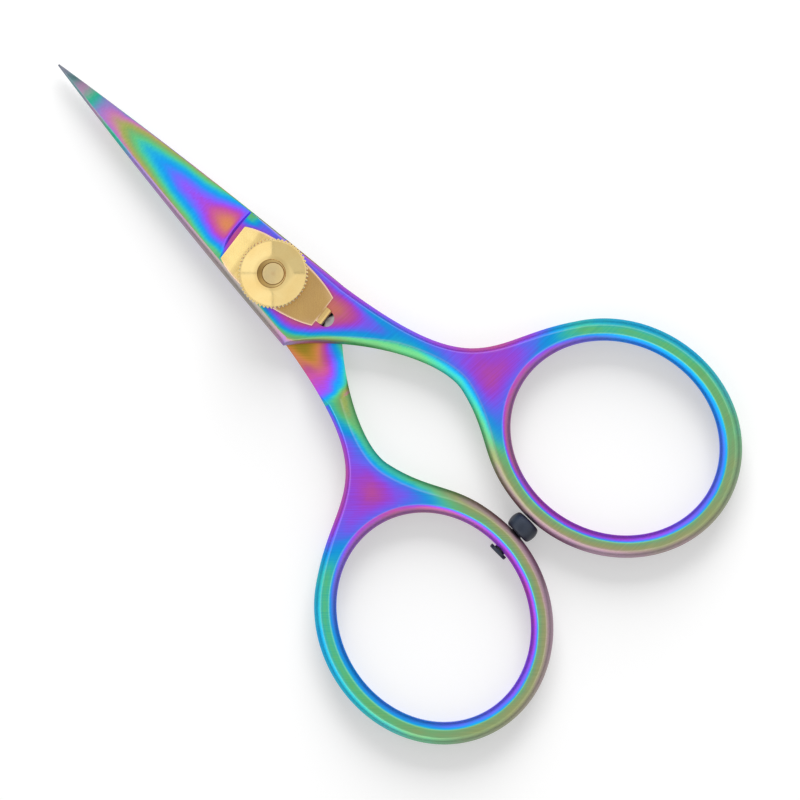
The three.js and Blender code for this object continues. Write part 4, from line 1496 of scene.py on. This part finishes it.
@dataclass(frozen=True)
class SoftFinish:
    """A moulded plastic or rubber with a fine grain."""

    name: str
    colour: str
    wear_and_sheen: str
    roughness: float = 0.5
    fineness: float = 2500.0
    depth: float = 0.2
    grain_height: float = 0.00003

    def material(self) -> bpy.types.Material:
        """Makes the material: two tones mixed by slow noise, and fine noise as bump.

        Returns:
            The material.
        """
        tree = Material(self.name)
        place = tree.add("TexCoord", {}).outputs["Object"]
        slow = tree.noise(place, self.fineness / 5, 2.0)
        tree.feed(tree.shader["Base Color"], tree.mixed(self.colour, self.wear_and_sheen, slow))
        tree.grained(tree.noise(place, self.fineness, 5.0), (self.roughness * 0.85, self.roughness * 1.15),
                     self.depth, self.grain_height)
        return tree.made


# The film's pale last colour is the painted highlight along the creases and on the lit side of the tab's hole.
RAINBOW_FRONT = MetalFinish(name="rainbow_film_front", roughness=0.3, grain_turn=math.radians(3), fineness=7000.0,
                            stretch=0.02, depth=0.12, dark=0.82, wear_and_sheen="f0ece8")
RAINBOW_REAR = replace(RAINBOW_FRONT, name="rainbow_film_rear", grain_turn=math.radians(44.5))
# The nut's second colour is its painted shade, brown, in the dish's middle and in the recess.
GOLD_NUT = MetalFinish(name="gold_nut", colour="e8cf90", roughness=0.1, fineness=6000.0, stretch=1.0, depth=0.05,
                       dark=0.94, second="7a5828", mottle="dcb468")
# The plate's second colour is the painted highlight of its foot and tab; its pale last colour is the painted
# highlight on its rims.
GOLD_PLATE = MetalFinish(name="gold_plate", colour="ba9660", roughness=0.26, grain_turn=math.radians(-45),
                         fineness=8000.0, stretch=0.05, depth=0.05, dark=0.95, second="ffe49a", mottle="c8a464",
                         wear_and_sheen="f6d0b8")
SCREW = MetalFinish(name="gold_screw", colour="e2c88c", roughness=0.3, fineness=5000.0, stretch=1.0, depth=0.1,
                    dark=0.9, second="b06a30", mottle="b4a88c")
NYLON = SoftFinish(name="natural_nylon", colour="e6e4da", wear_and_sheen="d8d5c8", roughness=0.45)
RUBBER = SoftFinish(name="dark_rubber", colour="0b1320", wear_and_sheen="1a2940", roughness=0.4, fineness=3000.0, depth=0.12)


@dataclass
class PivotStack:
    """The pivot's screw, plate, nut and washers."""

    thread: float = 1.4
    journal: float = 2.1
    neck_flat: float = 1.6
    head: float = 3.2
    head_thick: float = 0.9
    head_recess: float = 0.05
    slot_width: float = 0.8
    slot_depth: float = 0.4
    ride_face: float = 2.03
    thick: float = 4.0
    pitch: float = 0.5
    plate_turn: float = math.radians(7.6)
    plate_thick: float = 0.45
    plate_rise: float = 0.5
    plate_front: float = 6.6
    plate_fold: float = 4.5
    plate_back: float = 8.05
    plate_half: float = 3.8
    plate_sides: Table = (
        (-1, 0.68), (-0.68, 0.9), (-0.4, 0.97), (0, 1), (0.35, 0.955), (0.66, 0.835), (1, 0.6))
    tab_reach: float = 9.05
    tab_half: float = 1.15
    tab_shift: float = 0.32
    tab_depth: float = 1.3
    tab_taper: float = 0.3
    tail_drop: float = 0.2
    rim_round: float = 0.11
    plate_bore: float = 1.5
    # Painted highlight and shade of the plate, the painted highlight on its rims, and the nut's painted shade; pairs
    # are the ends of smooth steps.
    foot_fade: Pair = (-2.0, 2.0)
    side_shade: float = 0.25
    side_fade: Pair = (1.8, 3.4)
    fold_shade: float = 0.2
    fold_place: float = 4.3
    fold_fade: Pair = (0.5, 0.2)
    tail_tone: float = 0.35
    rim_sheen: float = 0.75
    rim_fade: Pair = (0.3, 0.12)
    dish_shade: float = 0.2
    dish_fade: Pair = (2.5, 2.0)
    sink_shade: float = 0.5
    sink_shade_lean: float = 0.4
    nut_radius: float = 4.55
    nut_height: float = 2.6
    nut_teeth: int = 54
    tooth_columns: int = 8
    tooth_depth: float = 0.2
    tooth_share: float = 0.33
    nut_chamfer: float = 0.3
    dish_rim: float = 4.15
    dish_depth: float = 0.52
    sink_radius: float = 1.86
    sink_depth: float = 0.75
    sink_shift: float = 0.22
    sink_heading: Pair = (-0.7127, 0.7015)
    sink_fade: Pair = (2.8, 2.0)
    spindle_dip: float = 0.5
    thread_depth: float = 0.14
    thread_step: float = 0.0625
    washer_bore: float = 1.5
    washer_radius: float = 3.1
    washer_thick: float = 0.3
    glide_washer: tuple[float, float, float, float] = (2.2, 3.8, 1.98, 2.3)
    clear: float = 0.03

    def __post_init__(self) -> None:
        """Stacks the heights."""
        self.plate_under = self.thick + self.plate_rise
        self.washer_base = self.plate_under + self.plate_thick + self.clear
        self.nut_base = self.washer_base + self.washer_thick + self.clear
        self.nut_top = self.nut_base + self.nut_height
        self.spindle_top = self.nut_top - self.spindle_dip
        self.sink_aside = self.sink_shift * np.array(self.sink_heading)

    def nut(self) -> Shell:
        """Knurled nut: a turned profile whose dish is a paraboloid and whose recess is set aside, less
        the notches of the knurl, each a V across a third of the pitch on both sides of its middle.

        Returns:
            The nut.
        """
        angles = around(self.nut_teeth * self.tooth_columns)
        bore, base, top = self.thread + 0.04, self.nut_base, self.nut_top
        outer, rim, sink, chamfer = self.nut_radius, self.dish_rim, self.sink_radius, self.nut_chamfer
        radii = np.linspace(rim - 0.2, sink + 0.08, 10)
        bowl = top - self.dish_depth * (rim ** 2 - radii ** 2) / (rim ** 2 - sink ** 2)
        profile = eased([
            (bore, base, 0), (bore + 0.2, base, 0.05), (outer - chamfer, base, 0.12), (outer, base + chamfer, 0.12),
            (outer, top - chamfer, 0.14), (outer - chamfer, top, 0.1), (rim, top, 0.04),
            *np.stack([radii, bowl, np.zeros(10)], axis=1), (sink, top - self.dish_depth, 0.05),
            (sink - 0.05, top - self.sink_depth, 0.05), (bore, top - self.sink_depth - 0.03, 0.03),
            (bore, base + 0.1, 0.05), (bore, base, 0)])
        grid = turned_grid(profile, angles)
        radius = np.hypot(grid[..., 0], grid[..., 1])
        phase = np.abs((np.arange(len(angles)) / self.tooth_columns + 0.5) % 1 - 0.5)
        notch = self.tooth_depth * np.clip(1 - phase / self.tooth_share, 0, 1)
        grid[..., :2] *= (1 - notch * smooth(radius, rim + 0.05, outer - 0.05) / radius)[..., None]
        aside = smooth(radius, bore + 0.02, sink - 0.1) * smooth(radius, *self.sink_fade) * (grid[..., 2] > top - 1)
        grid[..., :2] += aside[..., None] * self.sink_aside
        return Shell(grid)

    def nut_layers(self, points: Array) -> Layers:
        """Tones the nut with painted shade: a light one in the dish's middle, and a browner, darker painted shadow in
        its recess, most so on the side where that is widest.

        Args:
            points: points in the pivot's frame.

        Returns:
            The tone.
        """
        plan = points[:, :2]
        radius = np.hypot(*(plan - self.sink_aside).T)
        wide = plan @ np.array(self.sink_heading) / np.hypot(*plan.T)
        # Painted shade: light in the dish's middle, and stronger in the recess, most on its widest side.
        return {"tone": np.where(radius > self.sink_radius - 0.01, self.dish_shade * smooth(radius, *self.dish_fade),
                                 self.sink_shade + self.sink_shade_lean * wide)}

    def screw(self) -> Shell:
        """Pivot screw: head, journal with two flats at its neck, thread of real pitch and a chamfered end.

        Returns:
            The screw, before its slot is cut.
        """
        angles, end, under = around(96), self.spindle_top, self.head_recess + self.head_thick
        shoulder, journal, thread = self.thick - self.clear, self.journal, self.thread
        head = eased([
            (0, self.head_recess, 0), (self.head - 0.25, self.head_recess, 0.1),
            (self.head, self.head_recess + 0.25, 0.1), (self.head, under, 0.05), (journal, under, 0.05),
            (journal, self.ride_face - 0.06, 0.0)])
        neck = np.array([[journal, self.ride_face - 0.05], [journal, shoulder - 0.06], [journal - 0.05, shoulder],
                         [thread, shoulder]])
        heights = np.arange(shoulder + 0.02, end - 0.3, self.thread_step)
        stud = np.stack([np.full(len(heights), thread), heights], axis=1)
        tip = eased([(thread, end - 0.3, 0), (thread, end - 0.05, 0.03), (thread - 0.05, end, 0.03),
                     (0.9, end + 0.01, 0), (0.4, end, 0), (0, end - 0.02, 0)])
        grid = turned_grid(np.concatenate([head, neck, stud, tip]), angles)
        flats = slice(len(head), len(head) + len(neck) - 1)
        grid[flats, :, 1] = np.clip(grid[flats, :, 1], -self.neck_flat, self.neck_flat)
        turns = slice(len(head) + len(neck), len(head) + len(neck) + len(stud))
        height = grid[turns, :, 2]
        wave = (height / self.pitch - angles / (2 * math.pi)) % 1
        groove = self.thread_depth * np.abs(2 * wave - 1) * np.clip((height - shoulder - 0.1) / 0.3, 0, 1)
        grid[turns, :, :2] *= (1 - groove / thread)[..., None]
        return Shell(grid)

    def slot(self) -> Shell:
        """Box that cuts the slot across the screw's head.

        Returns:
            The box.
        """
        wide, half = self.head + 1, self.slot_width / 2
        low, high = (np.array([(x, y, z) for x, y in ((-wide, -half), (wide, -half), (wide, half), (-wide, half))])
                     for z in (-1.0, self.head_recess + self.slot_depth))
        shell = Shell(np.stack([low, high]))
        for end in (low, high):
            shell.grid(end[[0, 1, 3, 2]].reshape(2, 2, 3))
        return shell

    def screw_layers(self, points: Array) -> Layers:
        """Tones the screw: brown at the side of the spindle's end."""
        z = points[:, 2]
        return {"tone": 0.8 * smooth(z, self.spindle_top - 0.005, self.spindle_top - 0.04) * (z > self.thick)}

    def plate_width(self, along_it: Array) -> Array:
        """Half width of the plate: a fourth-degree curve through the plan's shares.

        Args:
            along_it: places along the plate.

        Returns:
            Half width at each place.
        """
        place, share = np.array(self.plate_sides).T
        reach = -place * np.where(place < 0, self.plate_front, self.plate_back)
        return np.polyval(np.polyfit(reach, share, 4), np.clip(along_it, reach[-1], reach[0])) * self.plate_half

    def plate(self) -> Shell:
        """Leaf spring: a rounded strip section carried along its side view, from the foot by the grind
        line over the fold and the flat to the tab, which bends down into its hole.

        Returns:
            The plate, before it is bored.
        """
        thick, drop, back, rim = self.plate_thick, self.tail_drop, self.plate_back, self.rim_round
        tab_end, tab_low = thick / 2 - self.tab_reach, -self.plate_rise - self.tab_depth
        side = eased([
            (self.plate_front, self.clear - self.plate_rise, 0), (self.plate_fold, 0, 0.5), (-back * 0.66, 0, 0.8),
            (-back, -drop, 0.3), (tab_end, -drop, 0.32), (tab_end, tab_low, 0)], steps=8)
        length = along(side)
        support = [0.02, 0.06, length[-1] - 0.02, length[-1] - 0.06]
        places = np.unique(np.concatenate([np.linspace(0, length[-1], 150), length, support]))
        centre = np.stack([np.interp(places, length, column) for column in side.T], axis=1)
        slope = np.gradient(centre, axis=0)
        slope /= np.hypot(*slope.T)[:, None]
        tab = centre[:, 0] < -back + 0.02
        down = np.clip((centre[:, 1] + drop) / (tab_low + drop), 0, 1)
        half = np.where(tab, self.tab_half * (1 - self.tab_taper * down), self.plate_width(centre[:, 0]))[:, None]
        middle = np.where(tab, -self.tab_shift, 0.0)[:, None]
        corner = np.array([0, 0.3, 0.7, 1]) * math.pi / 2
        left = -half + (1 - np.cos(corner)) * rim
        flat = left[:, -1:] * (1 - 2 * np.array([0.03, 0.2, 0.5, 0.8, 0.97]))
        upper = np.concatenate([left, flat, -left[:, ::-1]], axis=1)
        rise = thick / 2 - rim * (1 - np.sin(corner))
        rise = np.concatenate([rise, np.full(5, thick / 2), rise[::-1]])
        ends = np.minimum(places, places[-1] - places)
        pinch = np.where(ends < 0.015, 0.75, np.where(ends < 0.05, 0.93, 1.0))[:, None]
        x = np.concatenate([upper, upper[:, ::-1]], axis=1) + middle
        z = np.concatenate([rise, -rise[::-1]]) * pinch
        x, y = turned(x, centre[:, :1] + slope[:, 1:] * z, self.plate_turn)
        grid = np.stack([x, y, centre[:, 1:] - slope[:, :1] * z + self.plate_under + thick / 2], axis=-1)
        shell = Shell(grid)
        columns = grid.shape[1] // 2
        for end in (0, -1):
            shell.grid(np.stack([grid[end, :columns], grid[end, columns:][::-1]]))
        return shell

    def plate_layers(self, points: Array) -> Layers:
        """Dresses the plate with painted light: a painted highlight on the pale foot, fading to the brown tail,
        painted shade on one side and at the fold, a middling painted highlight on the tab, and a painted highlight
        along the rims.

        Args:
            points: points in the pivot's frame.

        Returns:
            The tone, and the painted highlight on the rims.
        """
        x, y, z = points.T
        across, along_it = turned(x, y, -self.plate_turn)
        # Painted light: the tone gives the foot and the tab a painted highlight and darkens one side and the fold
        # with painted shade; the rims get a painted highlight.
        fold = smooth(np.abs(along_it - self.fold_place), *self.fold_fade)
        tone = smooth(along_it, *self.foot_fade) * (1 - self.side_shade * smooth(across, *self.side_fade)
                                                    - self.fold_shade * fold)
        on_tab = along_it < -self.plate_back - 0.1
        across = np.abs(across)
        tail = smooth(-along_it, self.plate_back - 0.2, self.plate_back - 0.05) * (across > self.tab_half)
        rim = np.maximum(smooth(self.plate_width(along_it) - across, *self.rim_fade), tail)
        return {"tone": np.where(on_tab, self.tail_tone, tone),
                "wear_and_sheen": self.rim_sheen * rim * (along_it > -self.plate_back - 0.1) * (z > self.plate_under + 0.1)}

    @staticmethod
    def washer(inner: float, outer: float, low: float, high: float, lip: float = 0.06) -> Shell:
        """Flat ring with rounded rims, turned from a closed profile.

        Args:
            inner: radius of its hole.
            outer: its radius.
            low: its lower face.
            high: its upper face.
            lip: rounding of its rims.

        Returns:
            The washer.
        """
        middle = (inner + outer) / 2
        profile = eased([(middle, low, 0), (outer, low, lip), (outer, high, lip), (inner, high, lip),
                         (inner, low, lip), (middle, low, 0)])
        return Shell(turned_grid(profile, around(96)))


@dataclass
class Bumper:
    """Rubber bumper: a barrel head between the rings, a stem through the rear ring and a tail inside it."""

    radius: float = 1.98
    gap: float = 0.1
    stem: float = 0.8
    tail: float = 1.3
    tail_thick: float = 0.5
    clear: float = 0.05

    def shell(self, half: ShearHalf) -> Shell:
        """Turned profile laid from the rear ring's wall towards the front ring, the head slightly domed.

        Args:
            half: the rear half, in whose own frame the bumper is built.

        Returns:
            The bumper.
        """
        bow = (self.tail + half.bumper_lag) ** 2 / (2 * half.hole_wide)
        tail = half.ring_reach(0) - half.ring_reach(half.ring_wall) - bow - self.clear
        end = half.rings_apart - self.gap
        profile = eased([
            (0, tail - self.tail_thick, 0), (self.tail, tail - self.tail_thick, 0.3), (self.tail, tail, 0.12),
            (self.stem, tail, 0.0), (self.stem, self.clear, 0), (self.radius - 0.25, self.clear, 0.45),
            (self.radius, self.clear + 0.75, 0.5), (self.radius, end - 0.8, 0.5), (self.radius - 0.3, end - 0.1, 0.5),
            (0.7, end, 0.4), (0, end, 0)], steps=8)
        return Shell(half.beside_ring(turned_grid(profile, around(64))))


@dataclass
class Studio:
    """Floor, light tent, lamp and camera, straight above the shears. The tent's slopes and walls have a
    brightness for each quarter, from north-east round to north-west."""

    heading: float = math.radians(-44.67)
    distance: float = 2.0
    view_width: float = 0.10367
    aim: Pair = (0.00017, -0.0111)
    ceiling: float = 0.97
    sensor: float = 36.0
    slopes: tuple[float, float, float, float] = (1.3, 1.3, 0.84, 1.12)
    walls: tuple[float, float, float, float] = (1.15, 1.2, 1.9, 1.5)
    ceiling_reach: float = 0.34
    ceiling_edge: Pair = (0.7, 0.8)
    skirt_edge: Pair = (0.1, 0.4)
    seam_width: Pair = (0.018, 0.004)
    seam_dark: float = 0.5
    skirt: float = 0.35
    spread: float = 0.45
    bounce: float = 0.06
    floor_glow: float = 0.42
    floor_tone: float = 0.66
    key_size: float = 1.0
    key_power: float = 22.0
    key_turn: float = math.radians(4)
    key_back: float = 1.15
    key_height: float = 0.58
    floor_size: float = 3.0
    floor_drop: float = 0.00002

    def build(self) -> None:
        """Makes the floor, the tent, the key lamp and the camera."""
        scene = bpy.context.scene
        scene.view_settings.view_transform = "Standard"
        self.right = Vector((math.cos(self.heading), math.sin(self.heading), 0))
        self.up = Vector((-self.right.y, self.right.x, 0))
        self.floor()
        scene.world = self.tent()
        middle = Vector((*self.aim, 0))
        data = bpy.data.lights.new("key", "AREA")
        data.size = self.key_size
        data.energy = self.key_power
        lamp = bpy.data.objects.new("key", data)
        towards = self.up * math.cos(self.key_turn) + self.right * math.sin(self.key_turn)
        place = middle + towards * self.key_back + Vector((0, 0, self.key_height))
        lamp.matrix_world = Matrix.Translation(place) @ (middle - place).to_track_quat("-Z", "Y").to_matrix().to_4x4()
        lamp.visible_glossy = False
        scene.collection.objects.link(lamp)
        data = bpy.data.cameras.new("camera")
        data.sensor_width = self.sensor
        data.lens = self.sensor * self.distance / self.view_width
        data.clip_start = 0.01
        camera = bpy.data.objects.new("camera", data)
        above = Matrix.Translation(middle + Vector((0, 0, self.distance)))
        camera.matrix_world = above @ Matrix.Rotation(self.heading, 4, "Z")
        scene.collection.objects.link(camera)
        scene.camera = camera

    def floor(self) -> None:
        """Makes the pale floor; camera, glossy and transmission rays see it a little lighter, so that it
        is white where no shadow falls."""
        size = self.floor_size
        mesh = bpy.data.meshes.new("floor")
        mesh.from_pydata([(-size, -size, 0), (size, -size, 0), (size, size, 0), (-size, size, 0)], [], [(0, 1, 2, 3)])
        floor = bpy.data.objects.new("floor", mesh)
        floor.location.z = -self.floor_drop
        bpy.context.scene.collection.objects.link(floor)
        tree = Material("white_table")
        inputs = {"Base Color": (self.floor_tone,) * 3 + (1,), "Roughness": 0.9, "Specular IOR Level": 0.1,
                  "Emission Color": (1, 1, 1, 1)}
        for name, value in inputs.items():
            tree.feed(tree.shader[name], value)
        path = tree.add("LightPath", {}).outputs
        seen = tree.calc("MAXIMUM", path["Is Camera Ray"],
                         tree.calc("MAXIMUM", path["Is Glossy Ray"], path["Is Transmission Ray"]))
        tree.feed(tree.shader["Emission Strength"], tree.calc("MULTIPLY", seen, self.floor_glow))
        mesh.materials.append(tree.made)

    def tent(self) -> bpy.types.World:
        """Light tent: an even square ceiling, its corners at the picture's top, bottom and sides, and four
        sides of their own brightness with dark seams, each with a slope next to the ceiling and a wall
        below it. Light scattered by the floor is plain, and the camera sees white.

        Returns:
            The world.
        """
        world = bpy.data.worlds.new("tent")
        world.use_nodes = True
        tree = Tree(world.node_tree)
        place = tree.add("TexCoord", {}).outputs["Generated"]
        across, along_up, height = (
            tree.add("VectorMath", {0: place, 1: axis}, operation="DOT_PRODUCT").outputs["Value"]
            for axis in (self.right, self.up, Vector((0, 0, 1))))
        apart = [tree.calc("ABSOLUTE", side) for side in (across, along_up)]
        east, north = (self.step(tree, side, -0.01, 0.01) for side in (across, along_up))
        slopes, walls = (
            self.blend(tree, self.blend(tree, south_west, south_east, east),
                       self.blend(tree, north_west, north_east, east), north)
            for north_east, south_east, south_west, north_west in (self.slopes, self.walls))
        seam = self.step(tree, tree.calc("MINIMUM", *apart), *self.seam_width)
        slopes = tree.calc("MULTIPLY", slopes, tree.calc("MULTIPLY_ADD", seam, -self.seam_dark, 1.0))
        low = self.blend(tree, self.skirt, walls, self.step(tree, height, *self.skirt_edge))
        high = self.step(tree, height, *self.ceiling_edge)
        square = self.step(tree, tree.calc("ADD", *apart), self.ceiling_reach + 0.02, self.ceiling_reach)
        sides = self.blend(tree, low, slopes, high)
        tent = self.blend(tree, sides, self.ceiling, tree.calc("MULTIPLY", square, high))
        path = tree.add("LightPath", {}).outputs
        shiny = tree.calc("MAXIMUM", path["Is Glossy Ray"], path["Is Transmission Ray"])
        first = tree.calc("MULTIPLY", shiny, tree.calc("LESS_THAN", path["Diffuse Depth"], 0.5))
        lit = self.blend(tree, self.blend(tree, self.spread, self.bounce, shiny), tent, first)
        back = tree.nodes["Background"].inputs
        tree.feed(back["Strength"], self.blend(tree, lit, 1.0, path["Is Camera Ray"]))
        tree.feed(back["Color"], (1, 1, 1, 1))
        return world

    @staticmethod
    def step(tree: Tree, value: Value, low: float, high: float) -> Socket:
        """Adds a smooth step from 0 at low to 1 at high."""
        return tree.scaled(value, low, high, kind="SMOOTHSTEP")

    @staticmethod
    def blend(tree: Tree, start: Value, end: Value, share: Value) -> Socket:
        """Adds a mix of two numbers by a share."""
        return tree.mixed(start, end, share, kind="FLOAT")


def main() -> None:
    """Builds the halves, the pieces on the pivot, the bumper and the studio."""
    logging.basicConfig(level=logging.INFO, format="%(name)s: %(message)s")
    grain, film, nylon = brushed_grain(), film_colours(), NYLON.material()
    front, rear, stack = ShearHalf(Side.FRONT), ShearHalf(Side.REAR), PivotStack()
    Piece("front_shear", "front_half", "front", "rainbow_steel", sharp=42).make(
        front.shell(), front.place, RAINBOW_FRONT.material(grain, film), front.bores(), front.layers)
    Piece("rear_shear", "rear_half", "rear", "rainbow_steel", sharp=42).make(
        rear.shell(), rear.place, RAINBOW_REAR.material(grain, film), rear.bores(), rear.layers)
    Piece("knurled_nut", "tension_nut", "nut", "gold_metal", sharp=50).make(
        stack.nut(), front.place, GOLD_NUT.material(grain), layers=stack.nut_layers)
    Piece("spindle_screw", "pivot_screw", "front", "screw_steel", sharp=38).make(
        stack.screw(), front.place, SCREW.material(grain), [stack.slot()], stack.screw_layers)
    Piece("spring_plate", "tension_plate", "front", "gold_metal", sharp=38).make(
        stack.plate(), front.place, GOLD_PLATE.material(grain), [Shell(pin(stack.plate_bore, 3, 6))],
        stack.plate_layers)
    upper = stack.washer(stack.washer_bore, stack.washer_radius, stack.washer_base,
                         stack.washer_base + stack.washer_thick)
    Piece("upper_washer", "nut_washer", "nut_lift", "nylon").make(upper, front.place, nylon)
    Piece("lower_washer", "glide_washer", "rear", "nylon").make(
        stack.washer(*stack.glide_washer), rear.place, nylon)
    Piece("ring_bumper", "rubber_bumper", "rear", "black_rubber", sharp=50).make(
        Bumper().shell(rear), rear.place, RUBBER.material())
    Studio().build()


if __name__ == "__main__":
    main()
